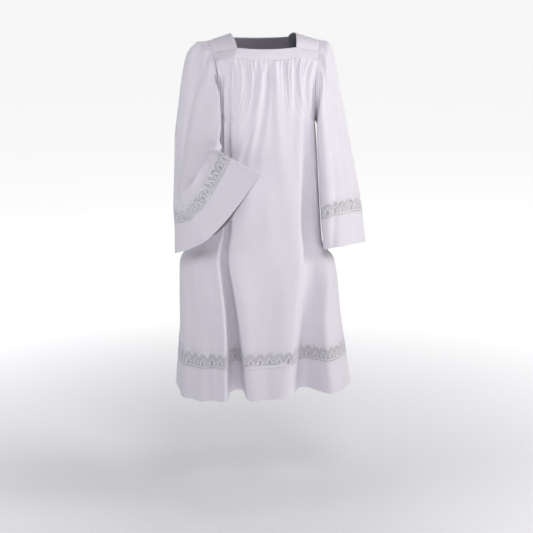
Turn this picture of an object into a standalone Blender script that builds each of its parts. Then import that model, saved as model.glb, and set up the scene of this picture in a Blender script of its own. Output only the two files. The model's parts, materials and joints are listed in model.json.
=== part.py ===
"""A surplice as worn: hollow body, square yoke, one sleeve hanging and one bent, lace above every hem.

Everything is in metres with +Z up and the front at -Y, so the wearer's right is at -X.
The origin lies between the shoulders, level with the top of the shoulder line.
Each cloth piece is a wall WALL thick on a surface that a row function gives.  A row
function takes a place along the piece and shares of the way across it, and returns points.
"""

import bpy
import numpy as np

WALL = 0.002
SEAM_GAP = 0.0004
STEP = 0.0015  # a share small enough to measure a surface's slope over

# The body, from the yoke seam down to the hem.
YOKE_SEAM_Z = -0.074
HEM_Z = -1.078
HEM_BAND = 0.098
LACE_HEIGHT = 0.047
HEM_TILT = 0.030  # how much higher the hem lies per metre toward +X
BODY_DROP = YOKE_SEAM_Z - HEM_Z

# Plan of the body without its folds: an oval that grows squarer toward the hem.
# Columns: height, half width on the right and on the left, how far the front and the back
# lie from the centre line, how far behind it the sides lie, and how square the oval is.
BODY_SECTIONS = {
    "yoke seam": (-0.074, 0.184, 0.184, 0.114, 0.104, 0.000, 2.5),
    "armhole middle": (-0.136, 0.160, 0.160, 0.119, 0.111, 0.000, 2.5),
    "bust": (-0.200, 0.154, 0.155, 0.124, 0.118, 0.000, 2.4),
    "waist": (-0.400, 0.148, 0.163, 0.124, 0.128, 0.010, 2.5),
    "hip": (-0.560, 0.166, 0.171, 0.126, 0.142, 0.020, 2.6),
    "inside the sleeves": (-0.625, 0.200, 0.177, 0.130, 0.150, 0.034, 2.7),
    "sleeve mouths": (-0.653, 0.238, 0.190, 0.132, 0.154, 0.034, 2.7),
    "below the sleeves": (-0.684, 0.251, 0.214, 0.134, 0.158, 0.030, 2.8),
    "knee": (-0.880, 0.254, 0.238, 0.142, 0.172, 0.018, 3.1),
    "hem": (-1.078, 0.259, 0.264, 0.146, 0.184, 0.005, 3.4),
}

# The folds that run down the body.  Each has its bearing in degrees from the front
# centre, toward +X, and its height over the plain oval in millimetres, at five levels.
FOLD_LEVELS = (-0.074, -0.200, -0.560, -0.880, -1.078)
FRONT_FOLDS = {
    "right side roll": ((-59, -64, -78, -75, -73), (0, 1, 1, 2, 3)),
    "right side crease": ((-56.5, -62, -74, -64.5, -64.5), (0, -1, -4, -5, -5)),
    "right quarter ridge": ((-54, -60, -64, -55, -57), (0, 1, 2, 4, 5)),
    "right quarter valley": ((-51.5, -57.5, -55.5, -47.5, -50.5), (0, -2, -4, -6, -6)),
    "right front ridge": ((-48.8, -54, -47.5, -40, -41), (0, 5, 9, 10, 6)),
    "deep valley, right": ((-46.6, -50, -44.5, -37, -37.5), (0, -5, -18, -52, -84)),
    "deep valley, left": ((-44.4, -47.3, -40.5, -30, -26), (0, -5, -20, -56, -98)),
    "centre panel, right edge": ((-41, -42, -37, -26.5, -22.5), (0, 5, 7, 8, 6)),
    "centre panel": ((-8, -9, -7, -4, -3.5), (0, 2, 4, 8, 9)),
    "centre panel, left edge": ((40.8, 40, 31, 24.5, 20), (0, 8, 10, 9, 5)),
    "left valley": ((46.8, 47.8, 44, 38, 40), (0, -6, -15, -46, -88)),
    "left front ridge": ((53, 56, 61, 52, 54), (0, 4, 4, 8, 8)),
    "left side roll": ((60, 63, 76, 75, 76), (0, 1, 2, 2, 0)),
}
BACK_FOLDS = {
    "left side back valley": ((121, 119, 110, 108, 107), (0, -4, -9, -20, -28)),
    "left back ridge": ((132, 128, 121, 120, 120), (0, 5, 8, 14, 16)),
    "left back deep valley": ((140, 137, 134, 133, 134), (0, -6, -18, -46, -70)),
    "back panel, left edge": ((148, 149, 148, 149, 151), (0, 6, 9, 11, 10)),
    "back centre-left dip": ((163, 164, 165, 166, 168), (0, -4, -6, -8, -9)),
    "back centre ridge": ((180, 181, 182, 184, 186), (0, 5, 6, 9, 10)),
    "back centre-right valley": ((196, 197, 199, 202, 205), (0, -6, -14, -36, -58)),
    "back right ridge": ((208, 209, 213, 217, 220), (0, 6, 10, 14, 15)),
    "back right valley": ((219, 222, 227, 231, 234), (0, -5, -12, -30, -46)),
    "back right side ridge": ((230, 237, 243, 246, 249), (0, 4, 6, 9, 10)),
}

# Shorter folds that start at the yoke and fade: x at the seam and where the fold ends,
# how far down it ends, its height in millimetres and its half width, in metres.
SHORT_FOLDS = {
    "ridge 1": (-0.106, -0.118, 0.30, 3.0, 0.008),
    "ridge 2": (-0.073, -0.090, 0.34, 4.5, 0.011),
    "valley 2": (-0.056, -0.066, 0.15, -3.5, 0.008),
    "ridge 3": (-0.038, -0.060, 0.20, 4.0, 0.006),
    "valley 3": (-0.030, -0.062, 0.24, -4.0, 0.007),
    "ridge 4": (-0.007, -0.066, 0.36, 6.5, 0.009),
    "valley 4": (0.006, -0.056, 0.38, -7.5, 0.010),
    "ridge 5": (0.022, 0.046, 0.40, 6.0, 0.012),
    "valley 5": (0.050, 0.066, 0.26, -4.0, 0.011),
    "ridge 6": (0.069, 0.062, 0.22, 4.5, 0.008),
    "valley 6": (0.083, 0.074, 0.30, -6.0, 0.008),
    "ridge 8": (0.131, 0.150, 0.26, 4.5, 0.009),
}
SHORT_FOLD_RISE = 0.03
SHORT_FOLD_SPREAD = 0.8
FRONT_GATHERS = 21
BACK_GATHERS = 20
GATHER_HEIGHT = 0.0022
GATHER_FADE = 0.055
GATHER_START = 0.45  # the gathers' height right at the seam, as a share of their full height
GATHER_RISE = 0.012
GATHER_WAVES = ((5.3, 0.25), (13.1, 0.20))  # how their height varies across a panel

# Heights of the panels' rows of vertices, with twice as many across the gathers.
GATHERED_LEVELS = (-0.084, -0.098, -0.116, -0.138)
PANEL_LEVELS = (-0.165, -0.195, -0.225, -0.241, -0.25, -0.40, -0.56, -0.62, -0.66, -0.70, -0.81)

# The panels' columns of vertices lie evenly at the yoke, and from here on keep to the folds.
FOLDED_FROM = 0.10
FOLDED_OVER = 0.35

# The armholes: ovals whose front and back lie nearer the middle than their tops.  On each
# side, by how much, and how much more of it lies above their middle than below.
ARM_TOP = (0.1650, 0.000, -0.022)
ARM_UNDER = (0.1500, 0.000, -0.250)
ARM_HALF_DEPTH = 0.072
ARM_INSETS = {-1: (0.0170, 0.0060), 1: (0.0110, 0.0)}
ARM_INSET_FADE = 0.08  # how far along a sleeve the extra above the middle is gone
UNDERARM_REACH = 0.09  # how far above the underarm a panel's end starts to turn round the side
SIDE_SETTLING = 0.06  # and how soon below it the side seam reaches the plain oval
STRAP_SEAM_TURN = 42.0  # degrees from the armhole's top to the strap's front and back seams

# The yoke's lower seam rises toward the neck corners and falls again at the armholes.
SEAM_REACH = (0.0, 0.050, 0.095, 0.130, 0.165)
SEAM_RISE = (0.0030, 0.0048, 0.0088, 0.0050, -0.0020)

# The way the walls face at the straps' seams, forward on the front one.
STRAP_SEAM_OUT = (0.0, 0.90, 0.43)

# The square neck opening.
NECK_FRONT_CORNER = (0.0870, -0.0900, -0.0360)
NECK_SHOULDER = (0.0960, 0.0000, -0.0005)
NECK_BACK_CORNER = (0.0870, 0.0800, -0.0180)
NECK_CURVE = 70.0  # degrees of arc from the shoulder to a neck corner, seen from the side
NECK_FRONT_SAG = 0.0045
NECK_BACK_SAG = 0.0030
NECK_FRONT_BULGE = 0.0110
NECK_BACK_BULGE = 0.0080
YOKE_CORNER_X = 0.0970
YOKE_HEIGHT = 0.034
STRAP_CELLS = 5  # cells along each strap seam of a yoke, then along its neck edge
NECK_CELLS = 12
YOKE_ROWS = 2
STRAP_ROWS = 14
STRAP_COLUMNS = 3
YOKE_SWELL = 0.0015
STRAP_LENGTH = 0.190
STRAP_WIDTH = 0.070
SLEEVE_LENGTH = 0.65
SLEEVE_GIRTH = 0.78

# The gaps at the seams above and below each sleeve's lace, wider where the bent sleeve turns.
SLEEVE_SEAM_GAPS = {"right": (0.0026, 0.0010), "left": (0.0008, 0.0005)}

# The sleeves, a row for each section from the armhole to the mouth: its place along the
# sleeve, its outer point, its inner point, the step from its middle to its front, how far
# its front and its back sag, how far they lie nearer the body's middle, and its squareness.
RIGHT_SLEEVE = (
    (0.0, (-0.165, 0, -0.022), (-0.1513, 0, -0.25), (0, -0.072, 0), 0, 0, 0.017, 2.0),
    (0.05, (-0.194, 0.002, -0.028), (-0.167, -0.004, -0.268), (0.027, -0.083, 0), 0, 0, 0.009, 2.0),
    (0.11, (-0.215, 0.006, -0.06), (-0.172, -0.01, -0.28), (0.053, -0.09, 0), 0.002, 0.002, 0.004, 2.0),
    (0.2, (-0.228, 0.012, -0.125), (-0.17, -0.016, -0.292), (0.061, -0.093, 0.002), 0.004, 0.004, 0, 2.2),
    (0.32, (-0.24, 0.02, -0.21), (-0.167, -0.026, -0.302), (0.056, -0.093, 0.004), 0.008, 0.006, 0, 2.4),
    (0.45, (-0.254, 0.026, -0.305), (-0.163, -0.046, -0.312), (0.045, -0.088, 0.004), 0.012, 0.01, 0, 2.5),
    (0.56, (-0.262, 0.022, -0.385), (-0.168, -0.07, -0.336), (0.012, -0.082, -0.01), 0.028, 0.02, 0, 2.2),
    (0.68, (-0.267, 0.006, -0.455), (-0.164, -0.108, -0.327), (-0.01, -0.054, -0.01), 0.042, 0.036, 0, 2.1),
    (0.78, (-0.268, -0.012, -0.506), (-0.145, -0.148, -0.327), (-0.016, -0.04, -0.008), 0.054, 0.05, 0, 2.0),
    (0.85, (-0.268, -0.026, -0.549), (-0.112, -0.182, -0.342), (-0.017, -0.036, -0.006), 0.054, 0.053, 0, 1.8),
    (1.0, (-0.271, -0.055, -0.642), (-0.037, -0.238, -0.382), (-0.014, -0.03, 0), 0.053, 0.06, 0, 1.6),
)
LEFT_SLEEVE = (
    (0.0, (0.165, 0, -0.022), (0.1513, 0, -0.25), (0, -0.072, 0), 0, 0, 0.011, 2.0),
    (0.05, (0.192, 0, -0.029), (0.162, 0, -0.268), (-0.008, -0.08, 0), 0, 0, 0.009, 2.1),
    (0.12, (0.211, 0, -0.072), (0.169, 0, -0.29), (-0.028, -0.09, 0.002), 0, 0, 0.003, 2.1),
    (0.25, (0.229, 0, -0.165), (0.175, 0.002, -0.34), (-0.044, -0.1, 0.006), 0.002, 0.002, 0, 2.1),
    (0.42, (0.252, 0, -0.275), (0.18, 0.004, -0.405), (-0.051, -0.11, 0.012), 0.003, 0.003, 0, 2.1),
    (0.6, (0.275, 0, -0.39), (0.185, 0.006, -0.47), (-0.057, -0.12, 0.02), 0.004, 0.004, 0, 2.1),
    (0.765, (0.296, 0, -0.496), (0.191, 0.008, -0.526), (-0.064, -0.13, 0.026), 0.004, 0.004, 0, 2.1),
    (0.838, (0.303, 0, -0.54), (0.196, 0.01, -0.568), (-0.068, -0.136, 0.026), 0.004, 0.004, 0, 2.1),
    (1.0, (0.314, 0, -0.636), (0.21, 0.014, -0.655), (-0.071, -0.146, 0.026), 0.002, 0, 0, 2.1),
)
SLEEVE_LACE = {"right": (0.780, 0.850), "left": (0.766, 0.838)}
CAP_GATHERS = 6
CAP_SHARE = 0.40
CAP_HEIGHT = 0.0045
CAP_FADE = 0.14
CAP_ROWS = (0.0, 0.035, 0.075)  # rows of vertices, with twice as many across the cap's gathers
SLEEVE_PLAIN_FROM = 0.13
SLEEVE_PLAIN_ROWS = 8
SLEEVE_OFFSET = 0.00064  # how far outside its armhole a sleeve starts

# How much of a sleeve's lean to the side its back takes, and how much more of the lean
# its upper half takes than its middle.
BACK_LEAN = {"right": 0.35, "left": 0.4}
LEAN_ABOVE = {"right": 0.15, "left": 0.05}

# Folds that run down the sleeves: share of the way round at the cap, the middle and the
# mouth, height in millimetres at the same three, and half width as a share.
SLEEVE_FOLDS = {
    "right": {
        "outer crease": ((0.44, 0.42, 0.33), (-2.0, -5.0, -4.0), 0.022),
        "front roll": ((0.38, 0.35, 0.26), (2.0, 4.0, 3.0), 0.045),
        "back crease": ((0.62, 0.62, 0.66), (-2.0, -6.0, -7.0), 0.030),
        "back roll": ((0.72, 0.73, 0.76), (2.0, 5.0, 6.0), 0.045),
    },
    "left": {
        "front crease": ((0.33, 0.31, 0.24), (-2.0, -5.0, -8.0), 0.022),
        "front roll": ((0.26, 0.24, 0.18), (1.0, 3.0, 5.0), 0.040),
        "outer crease": ((0.44, 0.42, 0.37), (-1.0, -3.0, -4.0), 0.022),
        "back crease": ((0.66, 0.67, 0.68), (-2.0, -6.0, -9.0), 0.026),
        "back roll": ((0.75, 0.76, 0.78), (1.0, 5.0, 6.0), 0.045),
    },
}

# The bent sleeve's crook: places along the sleeve, shares of the way round, and how far
# the cloth bulges or sinks in there, in millimetres.
CROOK_FOLDS = {
    "overhang": (0.470, 0.045, 0.12, 0.11, 9.0),
    "crease": (0.565, 0.045, 0.10, 0.13, -15.0),
    "forearm swell": (0.660, 0.045, 0.12, 0.12, 7.0),
}

# Lace: one repeat and the pointed window in it, and how many repeats each piece takes.
WINDOW_WIDTH = 0.010
WINDOW_HEIGHT = 0.015
WINDOW_SHOULDER = 0.009
WINDOW_SILL = 0.010
LACE_REPEAT = 0.028
FRONT_REPEATS = 32
BACK_REPEATS = 31
SLEEVE_REPEATS = 24

# Columns of cells across the panels and the hem bands.
FRONT_COLUMNS = 48
BACK_COLUMNS = 44

LINEN = (0.83, 0.81, 0.85, 1.0)
LACE_THREAD = (0.80, 0.79, 0.83, 1.0)


def clear_scene():
    for old in list(bpy.data.objects):
        bpy.data.objects.remove(old, do_unlink=True)


def cloth_material(name, colour, roughness):
    made = bpy.data.materials.new(name)
    made.use_nodes = True
    shader = made.node_tree.nodes["Principled BSDF"]
    shader.inputs["Base Color"].default_value = colour
    shader.inputs["Roughness"].default_value = roughness
    made.diffuse_color = colour
    return made


def through(places, values, at):
    """Values at a place on a smooth curve through a table's rows, one that never overshoots them."""
    places = np.asarray(places, float)
    values = np.asarray(values, float).reshape(len(places), -1)
    step = np.diff(places)[:, None]
    slope = np.diff(values, axis=0) / step
    lean = np.zeros_like(values)
    before, after = slope[:-1], slope[1:]
    steady = before * after > 0
    total = np.where(steady, before + after, 1.0)
    lean[1:-1] = np.where(steady, 2 * before * after / total, 0.0)
    lean[0], lean[-1] = slope[0], slope[-1]
    i = int(np.clip(np.searchsorted(places, at) - 1, 0, len(places) - 2))
    t = (at - places[i]) / (places[i + 1] - places[i])
    width = step[i]
    start = (2 * t**3 - 3 * t**2 + 1) * values[i] + (t**3 - 2 * t**2 + t) * width * lean[i]
    end = (3 * t**2 - 2 * t**3) * values[i + 1] + (t**3 - t**2) * width * lean[i + 1]
    return start + end


def evenly(curve, shares, trim=0.0):
    """Points at the given shares of a curve's length, less a trim at both its ends."""
    steps = np.linalg.norm(np.diff(curve, axis=0), axis=1)
    length = np.concatenate([[0.0], np.cumsum(steps)])
    wanted = trim + np.asarray(shares) * (length[-1] - 2 * trim)
    return np.stack([np.interp(wanted, length, curve[:, k]) for k in range(3)], axis=-1)


def spline(points, tangents, per_span=24):
    """A dense curve through points with the given tangents, by cubic spans."""
    t = np.linspace(0, 1, per_span, endpoint=False)[:, None]
    spans = [
        (2 * t**3 - 3 * t**2 + 1) * points[i]
        + (t**3 - 2 * t**2 + t) * tangents[i]
        + (3 * t**2 - 2 * t**3) * points[i + 1]
        + (t**3 - t**2) * tangents[i + 1]
        for i in range(len(points) - 1)
    ]
    return np.concatenate(spans + [points[-1:]])


def smooth(x):
    """From 0 at x = 0 to 1 at x = 1, level at both."""
    x = np.clip(x, 0.0, 1.0)
    return x * x * (3 - 2 * x)


def armhole(turn, side):
    """The armhole's point at an angle from its top, forward positive, on side -1 or +1."""
    top, under = np.array(ARM_TOP), np.array(ARM_UNDER)
    middle, half = (top + under) / 2, (top - under) / 2
    point = middle + half * np.cos(turn)
    inset, more_above = ARM_INSETS[side]
    point[0] -= (inset + more_above * np.cos(turn)) * np.sin(turn) ** 2
    point[1] -= ARM_HALF_DEPTH * np.sin(turn)
    return point * (side, 1, 1)


def armhole_turn(z):
    middle = (ARM_TOP[2] + ARM_UNDER[2]) / 2
    half = (ARM_TOP[2] - ARM_UNDER[2]) / 2
    return np.arccos(np.clip((z - middle) / half, -1, 1))


def oval_point(z, bearing):
    """A point of the body's plain oval and the direction out of it, in plan."""
    rows = list(BODY_SECTIONS.values())
    levels = [-row[0] for row in rows]
    right, left, front, back, side_y, squareness = through(levels, [row[1:] for row in rows], -z)
    turn = np.radians(bearing)
    across = left if np.sin(turn) > 0 else right
    deep = front + side_y if np.cos(turn) > 0 else back - side_y
    east, south = np.sin(turn) / across, np.cos(turn) / deep
    radius = (abs(east) ** squareness + abs(south) ** squareness) ** (-1 / squareness)
    point = np.array([radius * np.sin(turn), side_y - radius * np.cos(turn)])
    out = np.array(
        [
            np.sign(east) * abs(east * radius) ** (squareness - 1) / across,
            -np.sign(south) * abs(south * radius) ** (squareness - 1) / deep,
        ]
    )
    return point, out / np.linalg.norm(out)


def seam_z(x):
    """How far the yoke's lower seam lies over its middle height, at a distance from the centre."""
    return through(SEAM_REACH, SEAM_RISE, abs(x))[0]


def body_guides(folds, z):
    points = []
    for bearings, heights in folds.values():
        levels = [-level for level in FOLD_LEVELS]
        bearing = through(levels, bearings, -z)[0]
        height = through(levels, heights, -z)[0] / 1000
        point, out = oval_point(z, bearing)
        points.append(point + out * height)
    return points


def side_end(z, side, forward):
    """Where a panel ends: on the armhole above the underarm, and at the side seam below it."""
    if z > ARM_UNDER[2]:
        return armhole(forward * armhole_turn(z), side)[:2]
    end, _ = oval_point(z, 90 * side)
    start = np.array([ARM_UNDER[0] * side, ARM_UNDER[1]])
    settled = 1 - np.exp(-(ARM_UNDER[2] - z) / SIDE_SETTLING)
    return start + (end - start) * settled


def body_curve(z, back):
    """The plan of one panel at a height, from the wearer's right to left on the front."""
    front_points = body_guides(FRONT_FOLDS, z)
    back_points = body_guides(BACK_FOLDS, z)
    if back:
        inner = [side_end(z, 1, -1), *back_points, side_end(z, -1, -1)]
        beyond = front_points[-1], front_points[0]
    else:
        inner = [side_end(z, -1, 1), *front_points, side_end(z, 1, 1)]
        beyond = back_points[-1], back_points[0]
    points = np.array(inner)
    tangents = np.zeros_like(points)
    tangents[1:-1] = (points[2:] - points[:-2]) / 2
    for row, inward, past in ((0, points[1], beyond[0]), (-1, points[-2], beyond[1])):
        apart = float(np.clip((z - ARM_UNDER[2]) / UNDERARM_REACH, 0, 1))
        across = inward - past if row == 0 else past - inward
        along = inward - points[row] if row == 0 else points[row] - inward
        tangents[row] = (1 - apart) * across / 2 + apart * along
    return spline(points, tangents)


def shares_along(curve):
    length = np.concatenate([[0.0], np.cumsum(np.linalg.norm(np.diff(curve, axis=0), axis=1))])
    return length / length[-1]


def body_row(back, down, shares, trim=SEAM_GAP / 2):
    """Points across a panel at a share of the way down it.

    At the yoke they lie evenly.  Further down each keeps its place between the folds.
    """
    level = YOKE_SEAM_Z - BODY_DROP * down
    plan = body_curve(level, back)
    seam = np.array([seam_z(x) for x in plan[:, 0]])
    z = level + (1 - down) ** 6 * seam + down * HEM_TILT * plan[:, 0]
    settled = smooth((down - FOLDED_FROM) / FOLDED_OVER)
    folded = np.interp(shares, LACE_SHARES[back], shares_along(plan))
    return evenly(np.column_stack([plan, z]), shares + (folded - shares) * settled, trim)


def outward(points_at, down, shares, closed):
    """Directions out of a surface whose rows points_at gives."""
    low, high = shares - STEP, shares + STEP
    if not closed:
        low, high = np.clip(low, 0, 1), np.clip(high, 0, 1)
    above, below = max(down - STEP, 0.0), min(down + STEP, 1.0)
    across = points_at(down, high) - points_at(down, low)
    along = points_at(below, shares) - points_at(above, shares)
    out = np.cross(along, across)
    return out / np.linalg.norm(out, axis=1)[:, None]


def body_height(back, down, shares, x):
    """How far the gathers and short folds lift a panel, in metres."""
    drop = down * BODY_DROP
    count = BACK_GATHERS if back else FRONT_GATHERS
    start = GATHER_START + (1 - GATHER_START) * min(drop / GATHER_RISE, 1.0)
    uneven = 1 + sum(size * np.sin(rate * np.pi * shares) for rate, size in GATHER_WAVES)
    edge = np.clip(np.minimum(shares, 1 - shares) * count / 1.5, 0, 1)
    lift = GATHER_HEIGHT * start * np.exp(-((drop / GATHER_FADE) ** 2)) * uneven * edge
    height = lift * np.cos(2 * np.pi * count * (shares - 0.5))
    for x_seam, x_end, length, rise, half in SHORT_FOLDS.values():
        part = drop / length
        if part >= 1:
            continue
        middle = (x_seam + (x_end - x_seam) * part) * (-1 if back else 1)
        swell = min(drop / SHORT_FOLD_RISE, 1.0) * (1 - part) ** 0.8
        wider = half * (1 + SHORT_FOLD_SPREAD * part)
        height = height + rise / 1000 * swell * np.exp(-(((x - middle) / wider) ** 2)) * edge
    return height


LACE_Z = HEM_Z + HEM_BAND + LACE_HEIGHT / 2
LACE_SHARES = {back: shares_along(body_curve(LACE_Z, back)) for back in (False, True)}


def panel_row(back):
    def plain(down, shares):
        return body_row(back, down, shares)

    def row(down, shares):
        points = plain(down, shares)
        height = body_height(back, down, shares, points[:, 0])
        return points + outward(plain, down, shares, False) * height[:, None]

    return row


def sleeve_ring(side, along):
    """One section of a sleeve, from its inner point round by the front, outside and back."""
    table = RIGHT_SLEEVE if side == "right" else LEFT_SLEEVE
    rows = [np.concatenate([np.ravel(cell) for cell in row[1:]]) for row in table]
    values = through([row[0] for row in table], rows, along)
    outer, inner, to_front = values[0:3], values[3:6], values[6:9]
    sag_front, sag_back, inset = values[9:12]
    turn = np.pi * (1 - 2 * np.linspace(0, 1, 241))[:, None]
    power = 2 / values[12]
    up, forward = np.cos(turn), np.sin(turn)
    up, forward = (np.sign(part) * np.abs(part) ** power for part in (up, forward))
    lean = to_front * forward
    lean[:, 0] *= BACK_LEAN[side] + (1 - BACK_LEAN[side]) * smooth(0.5 + 1.2 * forward[:, 0])
    lean[:, 0] *= 1 + LEAN_ABOVE[side] * up[:, 0]
    ring = (outer + inner) / 2 + (outer - inner) / 2 * up + lean
    way = -1 if side == "right" else 1
    hang = np.sin(turn[:, 0]) ** 2
    above = ARM_INSETS[way][1] * np.cos(turn[:, 0]) * max(0.0, 1 - along / ARM_INSET_FADE)
    ring[:, 2] -= hang * np.where(turn[:, 0] > 0, sag_front, sag_back)
    ring[:, 0] += way * (SLEEVE_OFFSET - hang * (inset + above))
    return ring


def sleeve_height(side, along, shares):
    cap = (shares - 0.5) / (CAP_SHARE / 2)
    inside = np.clip(1.25 - np.abs(cap), 0, 0.25) * 4
    swell = min(along / 0.05, 1.0) * np.exp(-((along / CAP_FADE) ** 2))
    height = CAP_HEIGHT * inside * swell * np.cos(np.pi * CAP_GATHERS * cap)
    for places, rises, half in SLEEVE_FOLDS[side].values():
        place = through((0.0, 0.5, 1.0), places, along)[0]
        rise = through((0.0, 0.5, 1.0), rises, along)[0] / 1000 * min(along / 0.08, 1.0)
        height = height + rise * np.exp(-(((shares - place) / half) ** 2))
    if side == "right":
        for middle, long, share, wide, rise in CROOK_FOLDS.values():
            around = (shares - share + 0.5) % 1.0 - 0.5
            swell = np.exp(-(((along - middle) / long) ** 2)) * np.exp(-((around / wide) ** 2))
            height = height + rise / 1000 * swell
    return height


def sleeve_row(side):
    def plain(along, shares):
        return evenly(sleeve_ring(side, along), np.asarray(shares) % 1.0)

    def row(along, shares):
        points = plain(along, shares)
        out = outward(plain, along, shares, True)
        if side == "right":
            out = -out
        return points + out * sleeve_height(side, along, shares)[:, None]

    return row


def neck_side(share):
    """The neck opening's side edge on +X, from its front corner over the shoulder to its back one."""
    steepest = np.radians(NECK_CURVE)
    turn = steepest * (1 - 2 * share)
    corner = np.array(NECK_FRONT_CORNER if turn > 0 else NECK_BACK_CORNER)
    top = np.array(NECK_SHOULDER)
    forward = abs(np.sin(turn)) / np.sin(steepest)
    fallen = (1 - np.cos(turn)) / (1 - np.cos(steepest))
    x = top[0] + (corner[0] - top[0]) * forward**2
    return np.array([x, corner[1] * forward, top[2] + (corner[2] - top[2]) * fallen])


def strap_row(side):
    """Rows of a shoulder piece: down it is from the neck to the armhole, across from front to back."""

    def row(down, shares):
        points = []
        for share in shares:
            inner = neck_side(share) * (side, 1, 1)
            outer = armhole(np.radians(STRAP_SEAM_TURN) * (1 - 2 * share), side)
            points.append(inner + (outer - inner) * down)
        return np.array(points)

    return row


def strap_seam_out(side, back):
    """The direction of both walls at a strap's seam to a yoke: square to the seam itself."""
    turn = np.radians(STRAP_SEAM_TURN) * (-1 if back else 1)
    seam = armhole(turn, side) - neck_side(float(back)) * (side, 1, 1)
    seam /= np.linalg.norm(seam)
    out = np.array(STRAP_SEAM_OUT) * (1, 1 if back else -1, 1)
    out -= seam * np.dot(out, seam)
    return out / np.linalg.norm(out)


def neck_edge(share, back):
    """The neck opening's front or back edge, from its corner on -X to the one on +X."""
    corner = np.array(NECK_BACK_CORNER if back else NECK_FRONT_CORNER)
    sag = NECK_BACK_SAG if back else NECK_FRONT_SAG
    bulge = NECK_BACK_BULGE if back else -NECK_FRONT_BULGE
    across = 2 * share - 1
    middle = 1 - across**2
    return np.array([corner[0] * across, corner[1] + bulge * middle, corner[2] - sag * middle])


def yoke_corner_share(lower):
    """The share of a yoke's lower edge that lies outside the neck corner."""
    reach = np.abs(lower[:, 0])
    steps = np.concatenate([[0.0], np.cumsum(np.linalg.norm(np.diff(lower, axis=0), axis=1))])
    inside = np.argmax(reach < YOKE_CORNER_X)
    return steps[inside] / steps[-1]


def yoke_row(back):
    """Rows of a yoke, from its neck edge and strap seams down to the seam over the gathers."""
    way = 1 if back else -1
    lower = body_row(back, 0.0, np.linspace(0, 1, 241))
    corner = yoke_corner_share(lower)
    turn = np.radians(STRAP_SEAM_TURN) * (-1 if back else 1)

    def top_edge(share):
        if share < corner:
            start, end, part = armhole(turn, way), neck_edge(float(back), back), share / corner
        elif share > 1 - corner:
            start, end = neck_edge(float(not back), back), armhole(turn, -way)
            part = (share - 1 + corner) / corner
        else:
            part = (share - corner) / (1 - 2 * corner)
            return neck_edge(1 - part if back else part, back)
        return start + (end - start) * part

    def row(down, shares):
        bottom = evenly(lower, shares)
        top = np.array([top_edge(share) for share in shares])
        points = top + (bottom - top) * down
        swell = YOKE_SWELL * np.sin(np.pi * down)
        points[:, 1] += way * swell
        return points

    return row, corner


def grid_faces(counts, closed):
    """Faces between rows of vertices, where a row may have half the cells of the one before."""
    faces, first = [], 0
    for upper, lower in zip(counts, counts[1:]):
        above = upper if closed else upper + 1
        below = lower if closed else lower + 1
        second = first + above
        for i in range(lower):
            left, right = second + i, second + (i + 1) % below
            if upper == lower:
                faces.append((first + i, first + (i + 1) % above, right, left))
                continue
            a, b, c = (first + (2 * i + k) % above for k in range(3))
            faces += [(a, b, left), (b, right, left), (b, c, right)]
        first = second
    return faces


def wall(name, points, outs, faces, material):
    """A closed solid: the faces moved out by half the wall, the same moved in, and the rims."""
    points, outs = np.asarray(points), np.asarray(outs)
    count = len(points)
    face = faces[len(faces) // 2]
    a, b, c = points[list(face[:3])]
    if np.dot(np.cross(b - a, c - b), outs[face[0]]) < 0:
        faces = [face[::-1] for face in faces]
    edges = {(f[i], f[(i + 1) % len(f)]) for f in faces for i in range(len(f))}
    rim = [(a, b) for a, b in edges if (b, a) not in edges]
    solid = [*faces]
    solid += [tuple(i + count for i in face[::-1]) for face in faces]
    solid += [(b, a, a + count, b + count) for a, b in sorted(rim)]
    half = WALL / 2
    mesh = bpy.data.meshes.new(name)
    corners = np.concatenate([points + outs * half, points - outs * half])
    mesh.from_pydata(corners.tolist(), [], solid)
    mesh.materials.append(material)
    made = bpy.data.objects.new(name, mesh)
    bpy.context.scene.collection.objects.link(made)
    return made


def in_seam_plane(outs, normal=(1, 0, 0)):
    """Directions laid in a seam's plane, so that the walls on both its sides meet flat."""
    flat = outs * (1 - np.array(normal))
    return flat / np.linalg.norm(flat, axis=1)[:, None]


def sheet(name, row, downs, counts, material, closed=False, armhole_ends=lambda down: False):
    """A wall over a whole piece, with a row of vertices at each place in downs."""
    points, outs = [], []
    for down, count in zip(downs, counts):
        shares = np.linspace(0, 1, count + 1)
        if closed:
            shares = shares[:-1]
        out = outward(row, down, shares, closed)
        ends = [0, -1]
        if down < STEP:
            out = in_seam_plane(out, (0, 0, 1))
        if armhole_ends(down):
            out[ends] = in_seam_plane(out[ends])
        points.append(row(down, shares))
        outs.append(out)
    faces = grid_faces(counts, closed)
    return wall(name, np.concatenate(points), np.concatenate(outs), faces, material)


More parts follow.
